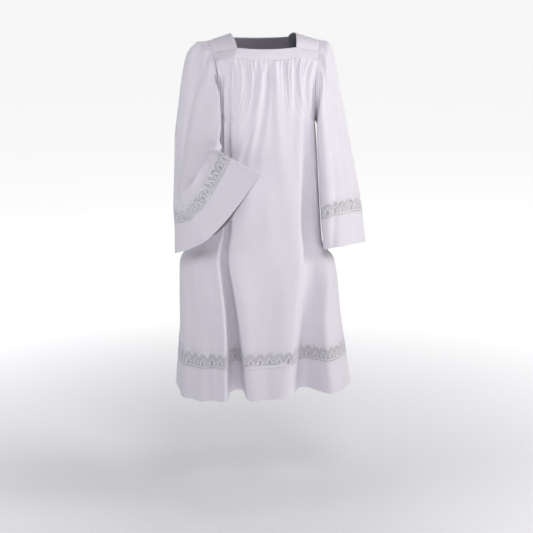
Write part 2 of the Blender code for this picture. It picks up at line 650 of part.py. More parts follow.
def lace(name, row, top, bottom, shares, repeats, halves, flip, closed, material):
    """A lace band with one pointed window through it in each repeat.

    Its edges have halves cells to each repeat, one or two.
    """
    start, end = shares
    cell = (end - start) / repeats
    half = WINDOW_WIDTH / LACE_REPEAT / 2
    levels = {
        "sill": WINDOW_SILL / LACE_HEIGHT,
        "shoulder": (WINDOW_SILL + WINDOW_SHOULDER) / LACE_HEIGHT,
        "peak": (WINDOW_SILL + WINDOW_HEIGHT) / LACE_HEIGHT,
    }
    rows = (
        ("bottom", 0.0, np.arange(halves * repeats + 1.0) / halves),
        ("top", 1.0, np.arange(halves * repeats + 1.0) / halves),
        ("sill left", levels["sill"], np.arange(repeats) + 0.5 - half),
        ("sill right", levels["sill"], np.arange(repeats) + 0.5 + half),
        ("shoulder left", levels["shoulder"], np.arange(repeats) + 0.5 - half),
        ("shoulder right", levels["shoulder"], np.arange(repeats) + 0.5 + half),
        ("peak", levels["peak"], np.arange(repeats) + 0.5),
    )
    points, outs, first = [], [], {}
    for label, level, places in rows:
        down = bottom + (top - bottom) * level
        at = start + places * cell
        first[label] = sum(len(part) for part in points)
        points.append(row(down, at))
        outs.append(outward(row, down, at, closed) * flip)
    faces = []
    for i in range(repeats):
        low = [first["bottom"] + halves * i + k for k in range(halves + 1)]
        high = [first["top"] + halves * i + k for k in range(halves + 1)]
        sill_left, sill_right = first["sill left"] + i, first["sill right"] + i
        left, right = first["shoulder left"] + i, first["shoulder right"] + i
        peak = first["peak"] + i
        faces += [
            (low[-1], high[-1], right, sill_right),
            (high[-1], peak, right),
            (high[0], left, peak),
            (high[0], low[0], sill_left, left),
        ]
        faces += [(high[k + 1], high[k], peak) for k in range(halves)]
        if halves == 1:
            faces.append((low[0], low[1], sill_right, sill_left))
        else:
            faces += [
                (low[0], low[1], sill_left),
                (low[1], sill_right, sill_left),
                (low[1], low[2], sill_right),
            ]
    return wall(name, np.concatenate(points), np.concatenate(outs), faces, material)


def build_yokes():
    for name, back in (("front_yoke", False), ("back_yoke", True)):
        row, corner = yoke_row(back)
        gap = SEAM_GAP / 2 / YOKE_HEIGHT
        across = np.concatenate(
            [
                np.linspace(0, corner, STRAP_CELLS + 1)[:-1],
                np.linspace(corner, 1 - corner, NECK_CELLS + 1),
                np.linspace(1 - corner, 1, STRAP_CELLS + 1)[1:],
            ]
        )
        downs = np.linspace(gap, 1 - gap, YOKE_ROWS + 1)
        points = [row(down, across) for down in downs]
        outs = [outward(row, down, across, False) for down in downs]
        outs[-1] = in_seam_plane(outs[-1], (0, 0, 1))
        for out in outs[1:]:
            out[[0, -1]] = in_seam_plane(out[[0, -1]])
        way = 1 if back else -1
        outs[0][:STRAP_CELLS + 1] = strap_seam_out(way, back)
        outs[0][-STRAP_CELLS - 1:] = strap_seam_out(-way, back)
        outs[0][[0, -1]] = in_seam_plane(outs[0][[0, -1]])
        faces = grid_faces([len(across) - 1] * len(downs), False)
        material = cloth_material(name + "_linen", LINEN, 0.85)
        wall(name, np.concatenate(points), np.concatenate(outs), faces, material)


def build_straps():
    for name, side in (("shoulder_right", -1), ("shoulder_left", 1)):
        row = strap_row(side)
        gap = SEAM_GAP / 2 / STRAP_LENGTH
        across = np.linspace(gap, 1 - gap, STRAP_ROWS + 1)
        end = 1 - SEAM_GAP / 2 / STRAP_WIDTH
        downs = np.linspace(0, end, STRAP_COLUMNS + 1)
        points = [row(down, across) for down in downs]
        outs = [outward(row, down, across, False) * side for down in downs]
        for out in outs:
            out[0], out[-1] = strap_seam_out(side, False), strap_seam_out(side, True)
        outs[-1] = in_seam_plane(outs[-1])
        faces = grid_faces([len(across) - 1] * len(downs), False)
        material = cloth_material(name + "_linen", LINEN, 0.85)
        wall(name, np.concatenate(points), np.concatenate(outs), faces, material)


def build_body():
    gap = SEAM_GAP / 2 / BODY_DROP
    lace_top = 1 - (HEM_BAND + LACE_HEIGHT) / BODY_DROP
    lace_bottom = 1 - HEM_BAND / BODY_DROP
    pieces = (
        ("front", False, FRONT_REPEATS, FRONT_COLUMNS),
        ("back", True, BACK_REPEATS, BACK_COLUMNS),
    )
    for face, back, repeats, columns in pieces:
        row = panel_row(back)
        gathered = [gap] + [(YOKE_SEAM_Z - z) / BODY_DROP for z in GATHERED_LEVELS]
        lower = [(YOKE_SEAM_Z - z) / BODY_DROP for z in PANEL_LEVELS] + [lace_top - gap]
        counts = [2 * columns] * len(gathered) + [columns] * len(lower)
        material = cloth_material(face + "_panel_linen", LINEN, 0.85)
        sheet(
            face + "_panel",
            row,
            gathered + lower,
            counts,
            material,
            armhole_ends=lambda down: YOKE_SEAM_Z - BODY_DROP * down > ARM_UNDER[2],
        )
        material = cloth_material(f"body_lace_{face}_thread", LACE_THREAD, 0.8)
        lace(
            "body_lace_" + face,
            row,
            lace_top + gap,
            lace_bottom - gap,
            (0.0, 1.0),
            repeats,
            2,
            1,
            False,
            material,
        )
        material = cloth_material(f"hem_band_{face}_linen", LINEN, 0.85)
        hem = [lace_bottom + gap, (lace_bottom + 1) / 2, 1.0]
        sheet("hem_band_" + face, row, hem, [columns] * 3, material)


def build_sleeves():
    for side in ("right", "left"):
        row = sleeve_row(side)
        out = -1 if side == "right" else 1
        top, bottom = SLEEVE_LACE[side]
        gap_above, gap_below = (gap / 2 / SLEEVE_LENGTH for gap in SLEEVE_SEAM_GAPS[side])
        lower = list(np.linspace(SLEEVE_PLAIN_FROM, top - gap_above, SLEEVE_PLAIN_ROWS))
        counts = [2 * SLEEVE_REPEATS] * len(CAP_ROWS) + [SLEEVE_REPEATS] * len(lower)
        material = cloth_material(f"sleeve_{side}_linen", LINEN, 0.85)
        build_tube(f"sleeve_{side}", row, [*CAP_ROWS, *lower], counts, out, material)
        for face, shares in (("front", (0.0, 0.5)), ("back", (0.5, 1.0))):
            inset = SEAM_GAP / 2 / SLEEVE_GIRTH
            name = f"sleeve_lace_{side}_{face}"
            material = cloth_material(name + "_thread", LACE_THREAD, 0.8)
            lace(
                name,
                row,
                top + gap_above,
                bottom - gap_below,
                (shares[0] + inset, shares[1] - inset),
                SLEEVE_REPEATS // 2,
                1,
                out,
                True,
                material,
            )
        name = f"cuff_band_{side}"
        material = cloth_material(name + "_linen", LINEN, 0.85)
        cuff = [bottom + gap_below, (bottom + 1) / 2, 1.0]
        build_tube(name, row, cuff, [SLEEVE_REPEATS] * 3, out, material)


def build_tube(name, row, places, counts, flip, material):
    points, outs = [], []
    for place, count in zip(places, counts):
        shares = np.arange(count) / count
        out = outward(row, place, shares, True) * flip
        if place == 0:
            out = in_seam_plane(out)
        points.append(row(place, shares))
        outs.append(out)
    faces = grid_faces(counts, True)
    return wall(name, np.concatenate(points), np.concatenate(outs), faces, material)


clear_scene()
build_yokes()
build_straps()
build_body()
build_sleeves()
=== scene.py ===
"""The surplice's looks: every cut piece as thin cloth on its solid's form, with its stitches.

Places are in metres with +Z up and the front at -Y, as in the frame.  A row function takes a
place along a piece and shares of the way across it and returns points, as the solids' own
formulas do; a Cloth holds such a surface as a fine grid, and every piece is laid on one.
"""

import json

import bpy
import numpy as np
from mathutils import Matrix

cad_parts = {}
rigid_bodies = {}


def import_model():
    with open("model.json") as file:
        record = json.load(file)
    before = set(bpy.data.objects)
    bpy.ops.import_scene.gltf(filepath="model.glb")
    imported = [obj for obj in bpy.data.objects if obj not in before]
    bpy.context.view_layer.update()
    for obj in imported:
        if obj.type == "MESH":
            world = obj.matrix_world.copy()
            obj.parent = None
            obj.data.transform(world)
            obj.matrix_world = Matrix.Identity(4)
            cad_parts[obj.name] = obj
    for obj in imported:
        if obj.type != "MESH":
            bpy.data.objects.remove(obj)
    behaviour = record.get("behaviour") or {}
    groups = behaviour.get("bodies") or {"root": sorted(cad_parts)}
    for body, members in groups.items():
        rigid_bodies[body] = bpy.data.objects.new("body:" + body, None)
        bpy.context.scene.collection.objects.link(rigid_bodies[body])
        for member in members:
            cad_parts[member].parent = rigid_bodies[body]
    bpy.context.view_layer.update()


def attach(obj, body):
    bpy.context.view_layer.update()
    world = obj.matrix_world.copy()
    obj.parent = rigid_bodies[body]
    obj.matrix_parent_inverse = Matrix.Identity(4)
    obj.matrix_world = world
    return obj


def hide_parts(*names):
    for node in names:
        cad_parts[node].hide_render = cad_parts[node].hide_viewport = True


# ---------------------------------------------------------------- sizes of the garment
YOKE_SEAM_Z = -0.074
HEM_Z = -1.078
HEM_BAND = 0.098
LACE_HEIGHT = 0.047
HEM_TILT = 0.030
BODY_DROP = YOKE_SEAM_Z - HEM_Z
LACE_TOP = 1 - (HEM_BAND + LACE_HEIGHT) / BODY_DROP
LACE_BOTTOM = 1 - HEM_BAND / BODY_DROP

# Columns: height, half width on the right and on the left, how far the front and the back
# lie from the centre line, how far behind it the sides lie, and how square the oval is.
BODY_SECTIONS = {
    "yoke seam": (-0.074, 0.184, 0.184, 0.114, 0.104, 0.000, 2.5),
    "armhole middle": (-0.136, 0.160, 0.160, 0.119, 0.111, 0.000, 2.5),
    "bust": (-0.200, 0.154, 0.155, 0.124, 0.118, 0.000, 2.4),
    "waist": (-0.400, 0.148, 0.163, 0.124, 0.128, 0.010, 2.5),
    "hip": (-0.560, 0.166, 0.171, 0.126, 0.142, 0.020, 2.6),
    "inside the sleeves": (-0.625, 0.200, 0.177, 0.130, 0.150, 0.034, 2.7),
    "sleeve mouths": (-0.653, 0.238, 0.190, 0.132, 0.154, 0.034, 2.7),
    "below the sleeves": (-0.684, 0.251, 0.214, 0.134, 0.158, 0.030, 2.8),
    "knee": (-0.880, 0.254, 0.238, 0.142, 0.172, 0.018, 3.1),
    "hem": (-1.078, 0.259, 0.264, 0.146, 0.184, 0.005, 3.4),
}

# Folds down the body: bearing in degrees from the front centre toward +X, and height over
# the plain oval in millimetres, at five levels.
FOLD_LEVELS = (-0.074, -0.200, -0.560, -0.880, -1.078)
FRONT_FOLDS = {
    "right side roll": ((-59, -64, -78, -75, -73), (0, 1, 1, 2, 3)),
    "right side crease": ((-56.5, -62, -74, -64.5, -64.5), (0, -1, -4, -5, -5)),
    "right quarter ridge": ((-54, -60, -64, -55, -57), (0, 1, 2, 4, 5)),
    "right quarter valley": ((-51.5, -57.5, -55.5, -47.5, -50.5), (0, -2, -4, -6, -6)),
    "right front ridge": ((-48.8, -54, -47.5, -40, -41), (0, 5, 9, 10, 6)),
    "deep valley, right": ((-46.6, -50, -44.5, -37, -37.5), (0, -5, -18, -52, -84)),
    "deep valley, left": ((-44.4, -47.3, -40.5, -30, -26), (0, -5, -20, -56, -98)),
    "centre panel, right edge": ((-41, -42, -37, -26.5, -22.5), (0, 5, 7, 8, 6)),
    "centre panel": ((-8, -9, -7, -4, -3.5), (0, 2, 4, 8, 9)),
    "centre panel, left edge": ((40.8, 40, 31, 24.5, 20), (0, 8, 10, 9, 5)),
    "left valley": ((46.8, 47.8, 44, 38, 40), (0, -6, -15, -46, -88)),
    "left front ridge": ((53, 56, 61, 52, 54), (0, 4, 4, 8, 8)),
    "left side roll": ((60, 63, 76, 75, 76), (0, 1, 2, 2, 0)),
}
BACK_FOLDS = {
    "left side back valley": ((121, 119, 110, 108, 107), (0, -4, -9, -20, -28)),
    "left back ridge": ((132, 128, 121, 120, 120), (0, 5, 8, 14, 16)),
    "left back deep valley": ((140, 137, 134, 133, 134), (0, -6, -18, -46, -70)),
    "back panel, left edge": ((148, 149, 148, 149, 151), (0, 6, 9, 11, 10)),
    "back centre-left dip": ((163, 164, 165, 166, 168), (0, -4, -6, -8, -9)),
    "back centre ridge": ((180, 181, 182, 184, 186), (0, 5, 6, 9, 10)),
    "back centre-right valley": ((196, 197, 199, 202, 205), (0, -6, -14, -36, -58)),
    "back right ridge": ((208, 209, 213, 217, 220), (0, 6, 10, 14, 15)),
    "back right valley": ((219, 222, 227, 231, 234), (0, -5, -12, -30, -46)),
    "back right side ridge": ((230, 237, 243, 246, 249), (0, 4, 6, 9, 10)),
}

# Shorter folds from the yoke seam: x at the seam and at the fold's end, how far down it
# ends, its height in millimetres and its half width, in metres.
SHORT_FOLDS = {
    "ridge 1": (-0.106, -0.118, 0.30, 3.0, 0.008),
    "ridge 2": (-0.073, -0.090, 0.34, 4.5, 0.011),
    "valley 2": (-0.056, -0.066, 0.15, -3.5, 0.008),
    "ridge 3": (-0.038, -0.060, 0.20, 4.0, 0.006),
    "valley 3": (-0.030, -0.062, 0.24, -4.0, 0.007),
    "ridge 4": (-0.007, -0.066, 0.36, 6.5, 0.009),
    "valley 4": (0.006, -0.056, 0.38, -7.5, 0.010),
    "ridge 5": (0.022, 0.046, 0.40, 6.0, 0.012),
    "valley 5": (0.050, 0.066, 0.26, -4.0, 0.011),
    "ridge 6": (0.069, 0.062, 0.22, 4.5, 0.008),
    "valley 6": (0.083, 0.074, 0.30, -6.0, 0.008),
    "ridge 8": (0.131, 0.150, 0.26, 4.5, 0.009),
}
SHORT_FOLD_RISE = 0.03
SHORT_FOLD_SPREAD = 0.8
GATHERS = {False: 26, True: 24}
GATHER_HEIGHT = 0.0044
GATHER_SHARES = (0.45, 1.35)  # the least and the most of that height a ridge has
GATHER_FADES = (0.035, 0.125)  # how far down a ridge fades, at least and at most, in metres
GATHER_WARPS = ((0.34, 2.7, 0.6), (0.15, 6.1, 0.0))  # uneven spacing: how much, how often, start
TROUGH, TROUGH_FADE = 0.40, 0.09  # what all ridges are taken down by, and how far it reaches
FADE_POWER = 1.4
BODY_DRAPE = 0.0011  # the height of the cloth's unevenness
SLEEVE_DRAPE = 0.0007
GATHER_SEED, DRAPE_SEED, SLEEVE_SEEDS = 7, 3, {"right": 21, "left": 22}
FOLDED_FROM = 0.10
FOLDED_OVER = 0.35
SEAM_FELT = 0.35  # how far down a panel the seam's rise and fall is followed

ARM_TOP = (0.1650, 0.000, -0.022)
ARM_UNDER = (0.1500, 0.000, -0.250)
ARM_HALF_DEPTH = 0.072
ARM_INSETS = {-1: (0.0170, 0.0060), 1: (0.0110, 0.0)}
UNDERARM_REACH = 0.09
SIDE_SETTLING = 0.06
STRAP_SEAM_TURN = 42.0
SEAM_REACH = (0.0, 0.050, 0.095, 0.130, 0.165)
SEAM_RISE = (0.0030, 0.0048, 0.0088, 0.0050, -0.0020)

NECK_FRONT_CORNER = (0.0870, -0.0900, -0.0360)
NECK_SHOULDER = (0.0960, 0.0000, -0.0005)
NECK_BACK_CORNER = (0.0870, 0.0800, -0.0180)
NECK_CURVE = 70.0
NECK_FRONT_SAG = 0.0045
NECK_BACK_SAG = 0.0030
NECK_FRONT_BULGE = 0.0110
NECK_BACK_BULGE = 0.0080
YOKE_CORNER_X = 0.0970
YOKE_SWELL = 0.0015

# Sleeve sections: place along it, then in millimetres the outer point, the inner point, the
# step from the middle to the front, the sag of front and back and how far they lie nearer
# the body's middle, and last how square the section is.
SLEEVES = {
    "right": (
        (0.000, (-165, 0, -22), (-151.3, 0, -250), (0, -72, 0), 0, 0, 17, 2.0),
        (0.050, (-194, 2, -28), (-167, -4, -268), (27, -83, 0), 0, 0, 9, 2.0),
        (0.110, (-215, 6, -60), (-172, -10, -280), (53, -90, 0), 2, 2, 4, 2.0),
        (0.200, (-228, 12, -125), (-170, -16, -292), (61, -93, 2), 4, 4, 0, 2.2),
        (0.320, (-240, 20, -210), (-167, -26, -302), (56, -93, 4), 8, 6, 0, 2.4),
        (0.450, (-254, 26, -305), (-163, -46, -312), (45, -88, 4), 12, 10, 0, 2.5),
        (0.560, (-262, 22, -385), (-168, -70, -336), (12, -82, -10), 28, 20, 0, 2.2),
        (0.680, (-267, 6, -455), (-164, -108, -327), (-10, -54, -10), 42, 36, 0, 2.1),
        (0.780, (-268, -12, -506), (-145, -148, -327), (-16, -40, -8), 54, 50, 0, 2.0),
        (0.850, (-268, -26, -549), (-112, -182, -342), (-17, -36, -6), 54, 53, 0, 1.8),
        (1.000, (-271, -55, -642), (-37, -238, -382), (-14, -30, 0), 53, 60, 0, 1.6),
    ),
    "left": (
        (0.000, (165, 0, -22), (151.3, 0, -250), (0, -72, 0), 0, 0, 11, 2.0),
        (0.050, (192, 0, -29), (162, 0, -268), (-8, -80, 0), 0, 0, 9, 2.1),
        (0.120, (211, 0, -72), (169, 0, -290), (-28, -90, 2), 0, 0, 3, 2.1),
        (0.250, (229, 0, -165), (175, 2, -340), (-44, -100, 6), 2, 2, 0, 2.1),
        (0.420, (252, 0, -275), (180, 4, -405), (-51, -110, 12), 3, 3, 0, 2.1),
        (0.600, (275, 0, -390), (185, 6, -470), (-57, -120, 20), 4, 4, 0, 2.1),
        (0.765, (296, 0, -496), (191, 8, -526), (-64, -130, 26), 4, 4, 0, 2.1),
        (0.838, (303, 0, -540), (196, 10, -568), (-68, -136, 26), 4, 4, 0, 2.1),
        (1.000, (314, 0, -636), (210, 14, -655), (-71, -146, 26), 2, 0, 0, 2.1),
    ),
}
SLEEVE_LENGTH = 0.65
SLEEVE_RADIUS = 0.124  # the round tube over which its unevenness is taken
SLEEVE_LACE = {"right": (0.780, 0.850), "left": (0.766, 0.838)}
SLEEVE_OFFSET = 0.0002
RING_POINTS = 721  # how finely a section is drawn before places on it are taken
BACK_LEAN = {"right": 0.35, "left": 0.4}
LEAN_ABOVE = {"right": 0.15, "left": 0.05}
CAP_SHARE = 0.40
CAP_HEIGHT = 0.0068
CAP_FADE = 0.14
CAP_RISE = 0.05
CAP_EDGE = 1.25  # where its gathers end, in halves of its width
CAP_GATHERS = 10

# Folds down the sleeves: share of the way round at the cap, the middle and the mouth,
# height in millimetres at the same three, and half width as a share.
SLEEVE_FOLDS = {
    "right": {
        "outer crease": ((0.44, 0.42, 0.33), (-2.0, -5.0, -4.0), 0.022),
        "front roll": ((0.38, 0.35, 0.26), (2.0, 4.0, 3.0), 0.045),
        "back crease": ((0.62, 0.62, 0.66), (-2.0, -6.0, -7.0), 0.030),
        "back roll": ((0.72, 0.73, 0.76), (2.0, 5.0, 6.0), 0.045),
    },
    "left": {
        "front crease": ((0.33, 0.31, 0.24), (-2.0, -5.0, -8.0), 0.022),
        "front roll": ((0.26, 0.24, 0.18), (1.0, 3.0, 5.0), 0.040),
        "outer crease": ((0.44, 0.42, 0.37), (-1.0, -3.0, -4.0), 0.022),
        "back crease": ((0.66, 0.67, 0.68), (-2.0, -6.0, -9.0), 0.026),
        "back roll": ((0.75, 0.76, 0.78), (1.0, 5.0, 6.0), 0.045),
    },
}

# The bent sleeve's crook: place along it and reach, share of the way round and reach, and
# how far the cloth bulges there, in millimetres.
CROOK_FOLDS = {
    "overhang": (0.462, 0.042, 0.11, 0.11, 13.0),
    "crease": (0.560, 0.034, 0.10, 0.12, -24.0),
    "forearm swell": (0.650, 0.045, 0.17, 0.12, 11.0),
}

# ---------------------------------------------------------------- lace, in millimetres
REPEAT = 28.0
LACE_MM = 47.0
REPEATS = {"front": 32, "back": 31, "sleeve": 12}

# The net is laid in rows of bricks, half a brick apart.  Each row: its middle, its height,
# the radius of its eyelets, where its bricks with an eyelet stand and where its whole ones do.
BRICK_WIDE = 7.0
NET_ROWS = (
    (12.0, 5.5, 2.15, (3.5, 24.5), ()),
    (17.5, 5.5, 2.15, (0.0,), ()),
    (23.0, 5.5, 2.15, (3.5, 24.5), ()),
    (28.5, 5.5, 2.15, (0.0, 7.0, 21.0), ()),
    (34.0, 5.5, 2.15, (3.5, 10.5, 17.5, 24.5), ()),
    (39.5, 5.5, 2.15, (7.0, 14.0, 21.0), (0.0,)),
    (44.1, 3.7, 1.35, (10.5, 17.5), (3.5, 24.5)),
)
HALF_BRICKS = (17.5, (5.25, 22.75))
BEADING = (4.3, 5.6, 5.4, 1.7)  # middle, width and height of its bricks, radius of its holes
CORDS = ((0.0, 0.8, 1.6), (7.0, 8.2, 9.25), (45.95, 46.5, 47.0))  # raised along their middles
THREAD_LIFT = 0.25
CORD_LIFT = 0.60

# Each window, as its right half from the middle of its foot up to its peak: the edge of the
# bricks round it, and the pointed arch that is left open.
WINDOW_MIDDLE = 14
WINDOW_EDGE = (
    (14, 9.25), (17.5, 9.25), (21, 9.25), (21, 12), (21, 14.75), (21, 17.5), (21, 20.25),
    (21, 23), (21, 25.75), (17.5, 25.75), (17.5, 28.5), (17.5, 31.25), (14, 31.25),
)
WINDOW_ARCH = (
    (14, 10.2), (16.4, 10.2), (18.4, 10.2), (18.6, 12), (18.6, 14.75), (18.5, 17.5),
    (18.0, 20.25), (17.2, 22.6), (16.4, 24.4), (15.7, 25.6), (15.0, 26.8), (14.5, 27.8),
    (14, 28.6),
)
WINDOW_BARS = 1.6  # how far apart the threads of the fine net in a window lie
BAR_WIDE = 0.42
UPRIGHT_LIFT = -0.15

# ---------------------------------------------------------------- zigzag, cuts and cloth
ZIGZAG_PEAK = 0.0150
ZIGZAG_FOOT = 0.0057
ZIGZAG_WIDTH = 0.0026
ZIGZAG_DEPTH = 0.0009
ZIGZAG_STEPS = 12

# Cut sizes in metres: a panel's or sleeve's width and flat area and its band's width, then
# the width and height of a yoke and of a shoulder piece.
PANEL_CUTS = {"front": (0.92, 0.70, 0.97), "back": (0.88, 0.67, 0.92)}
SLEEVE_CUT = (0.68, 0.27, 0.73)
YOKE_CUTS = {"front": (0.36, 0.034), "back": (0.36, 0.054)}
STRAP_CUT = (0.19, 0.072)

# How many columns a cloth is sampled in, and how many the piece cut from it has.
BODY_FINE, PANEL_COLUMNS, HEM_COLUMNS = 1100, 440, 400
SLEEVE_FINE, SLEEVE_COLUMNS = 720, 240
YOKE_FINE, YOKE_COLUMNS = 360, 180
STRAP_FINE, STRAP_COLUMNS = 120, 64

# How far a piece's top and bottom edges dip into their seams.
PANEL_TUCK = (0.0008, 0.0005)
SLEEVE_TUCK = (0.0, 0.0005)
YOKE_TUCK = (0.0004, 0.0008)
BAND_TUCK = (0.0006, 0.0)

CLOTH = 0.0007
LACE_CLOTH = 0.0007
SEAM_DIP = 0.0022
STITCH_LENGTH = 0.0022
STITCH_PITCH = 0.0031
# How far from a seam its stitches run, above and below the lace as shares of the way down
# the cloth, and in metres from a yoke's upper and lower edge.
BODY_STITCHING = (0.0028, 0.0075)
SLEEVE_STITCHING = (0.0045, 0.011)
YOKE_STITCHING = (0.0032, 0.0028)
STITCH_WIDTH = 0.0005
ROLL_WIDTH = 0.0030
ROLL_DEPTH = 0.0018

LINEN = (0.835, 0.815, 0.865, 1.0)
LINEN_SHADE = (0.785, 0.76, 0.825, 1.0)
# The inner faces of the cut pieces are painted a dark grey: painted shade for the inside of the
# garment, so the lace's holes read dark; the cloth is as white inside as out.
INSIDE_PAINTED_SHADE = (0.42, 0.40, 0.45, 1.0)
THREAD = (0.84, 0.825, 0.87, 1.0)


# ---------------------------------------------------------------- curves and tables
def cubic(t, start, leaving, end, arriving):
    """The way from start to end by a cubic with the given slopes, for t from 0 to 1."""
    return (
        (2 * t**3 - 3 * t**2 + 1) * start
        + (t**3 - 2 * t**2 + t) * leaving
        + (3 * t**2 - 2 * t**3) * end
        + (t**3 - t**2) * arriving
    )


def through(places, values, at):
    """Values at a place on a smooth curve through a table's rows that never overshoots them."""
    places = np.asarray(places, float)
    values = np.asarray(values, float).reshape(len(places), -1)
    step = np.diff(places)[:, None]
    slope = np.diff(values, axis=0) / step
    lean = np.zeros_like(values)
    before, after = slope[:-1], slope[1:]
    steady = before * after > 0
    total = np.where(steady, before + after, 1.0)
    lean[1:-1] = np.where(steady, 2 * before * after / total, 0.0)
    lean[0], lean[-1] = slope[0], slope[-1]
    i = int(np.clip(np.searchsorted(places, at) - 1, 0, len(places) - 2))
    t = (at - places[i]) / (places[i + 1] - places[i])
    return cubic(t, values[i], step[i] * lean[i], values[i + 1], step[i] * lean[i + 1])


def lengths(curve):
    steps = np.linalg.norm(np.diff(curve, axis=0), axis=1)
    return np.concatenate([[0.0], np.cumsum(steps)])


def unit(vectors):
    return vectors / np.linalg.norm(vectors, axis=-1, keepdims=True)


def read_along(values, length, wanted):
    """Points or directions of a curve at wanted places along its length."""
    return np.stack([np.interp(wanted, length, values[:, k]) for k in range(3)], axis=-1)


def evenly(curve, shares):
    """Points at the given shares of a curve's length."""
    length = lengths(curve)
    return read_along(curve, length, np.asarray(shares) * length[-1])


def ladder(*parts):
    """Places in order, from runs (start, end, count) and lists of single places."""
    runs = [np.linspace(*part) if isinstance(part, tuple) else part for part in parts]
    return np.unique(np.concatenate(runs))


def spline(points, tangents, per_span=24):
    """A dense curve through points with the given tangents, by cubic spans."""
    t = np.linspace(0, 1, per_span, endpoint=False)[:, None]
    spans = [
        cubic(t, points[i], tangents[i], points[i + 1], tangents[i + 1])
        for i in range(len(points) - 1)
    ]
    return np.concatenate(spans + [points[-1:]])


def smooth(x):
    x = np.clip(x, 0.0, 1.0)
    return x * x * (3 - 2 * x)


# ---------------------------------------------------------------- the garment's surfaces
def armhole(turn, side):
    """The armhole's point at an angle from its top, forward positive, on side -1 or +1."""
    top, under = np.array(ARM_TOP), np.array(ARM_UNDER)
    middle, half = (top + under) / 2, (top - under) / 2
    point = middle + half * np.cos(turn)
    inset, more_above = ARM_INSETS[side]
    point[0] -= (inset + more_above * np.cos(turn)) * np.sin(turn) ** 2
    point[1] -= ARM_HALF_DEPTH * np.sin(turn)
    return point * (side, 1, 1)


def armhole_turn(z):
    middle = (ARM_TOP[2] + ARM_UNDER[2]) / 2
    half = (ARM_TOP[2] - ARM_UNDER[2]) / 2
    return np.arccos(np.clip((z - middle) / half, -1, 1))


def oval_point(z, bearing):
    """A point of the body's plain oval and the direction out of it, in plan.

    The oval is |x / half width| ** n + |y / depth| ** n = 1, with n its squareness.
    """
    rows = list(BODY_SECTIONS.values())
    levels = [-row[0] for row in rows]
    right, left, front, back, side_y, squareness = through(levels, [row[1:] for row in rows], -z)
    turn = np.radians(bearing)
    across = left if np.sin(turn) > 0 else right
    deep = front + side_y if np.cos(turn) > 0 else back - side_y
    east, south = np.sin(turn) / across, np.cos(turn) / deep
    radius = (abs(east) ** squareness + abs(south) ** squareness) ** (-1 / squareness)
    point = np.array([radius * np.sin(turn), side_y - radius * np.cos(turn)])
    out = np.array(
        [
            np.sign(east) * abs(east * radius) ** (squareness - 1) / across,
            -np.sign(south) * abs(south * radius) ** (squareness - 1) / deep,
        ]
    )
    return point, unit(out)


def seam_z(x):
    return through(SEAM_REACH, SEAM_RISE, abs(x))[0]


def body_guides(folds, z):
    points = []
    levels = [-level for level in FOLD_LEVELS]
    for bearings, heights in folds.values():
        bearing, height = through(levels, np.column_stack([bearings, heights]), -z)
        point, out = oval_point(z, bearing)
        points.append(point + out * height / 1000)
    return points


def side_end(z, side, forward):
    """Where a panel ends: on the armhole above the underarm, and at the side seam below it."""
    if z > ARM_UNDER[2]:
        return armhole(forward * armhole_turn(z), side)[:2]
    end, _ = oval_point(z, 90 * side)
    start = np.array([ARM_UNDER[0] * side, ARM_UNDER[1]])
    return start + (end - start) * (1 - np.exp(-(ARM_UNDER[2] - z) / SIDE_SETTLING))


def body_curve(z, back):
    """The plan of one panel at a height: a smooth curve through its folds."""
    front_points = body_guides(FRONT_FOLDS, z)
    back_points = body_guides(BACK_FOLDS, z)
    if back:
        inner = [side_end(z, 1, -1), *back_points, side_end(z, -1, -1)]
        beyond = front_points[-1], front_points[0]
    else:
        inner = [side_end(z, -1, 1), *front_points, side_end(z, 1, 1)]
        beyond = back_points[-1], back_points[0]
    points = np.array(inner)
    tangents = np.zeros_like(points)
    tangents[1:-1] = (points[2:] - points[:-2]) / 2
    for row, inward, past in ((0, points[1], beyond[0]), (-1, points[-2], beyond[1])):
        apart = float(np.clip((z - ARM_UNDER[2]) / UNDERARM_REACH, 0, 1))
        across = inward - past if row == 0 else past - inward
        along = inward - points[row] if row == 0 else points[row] - inward
        tangents[row] = (1 - apart) * across / 2 + apart * along
    return spline(points, tangents)


LACE_Z = HEM_Z + HEM_BAND + LACE_HEIGHT / 2
LACE_SHARES = {}
for is_back in (False, True):
    at_lace = lengths(body_curve(LACE_Z, is_back))
    LACE_SHARES[is_back] = at_lace / at_lace[-1]


def body_row(back, down, shares):
    """Points across a panel: evenly spread at the yoke, and in place between the folds below."""
    level = YOKE_SEAM_Z - BODY_DROP * down
    plan = body_curve(level, back)
    seam = np.array([seam_z(x) for x in plan[:, 0]]) if down < SEAM_FELT else 0.0
    z = level + (1 - down) ** 6 * seam + down * HEM_TILT * plan[:, 0]
    settled = smooth((down - FOLDED_FROM) / FOLDED_OVER)
    at_plan = lengths(plan)
    folded = np.interp(shares, LACE_SHARES[back], at_plan / at_plan[-1])
    return evenly(np.column_stack([plan, z]), shares + (folded - shares) * settled)


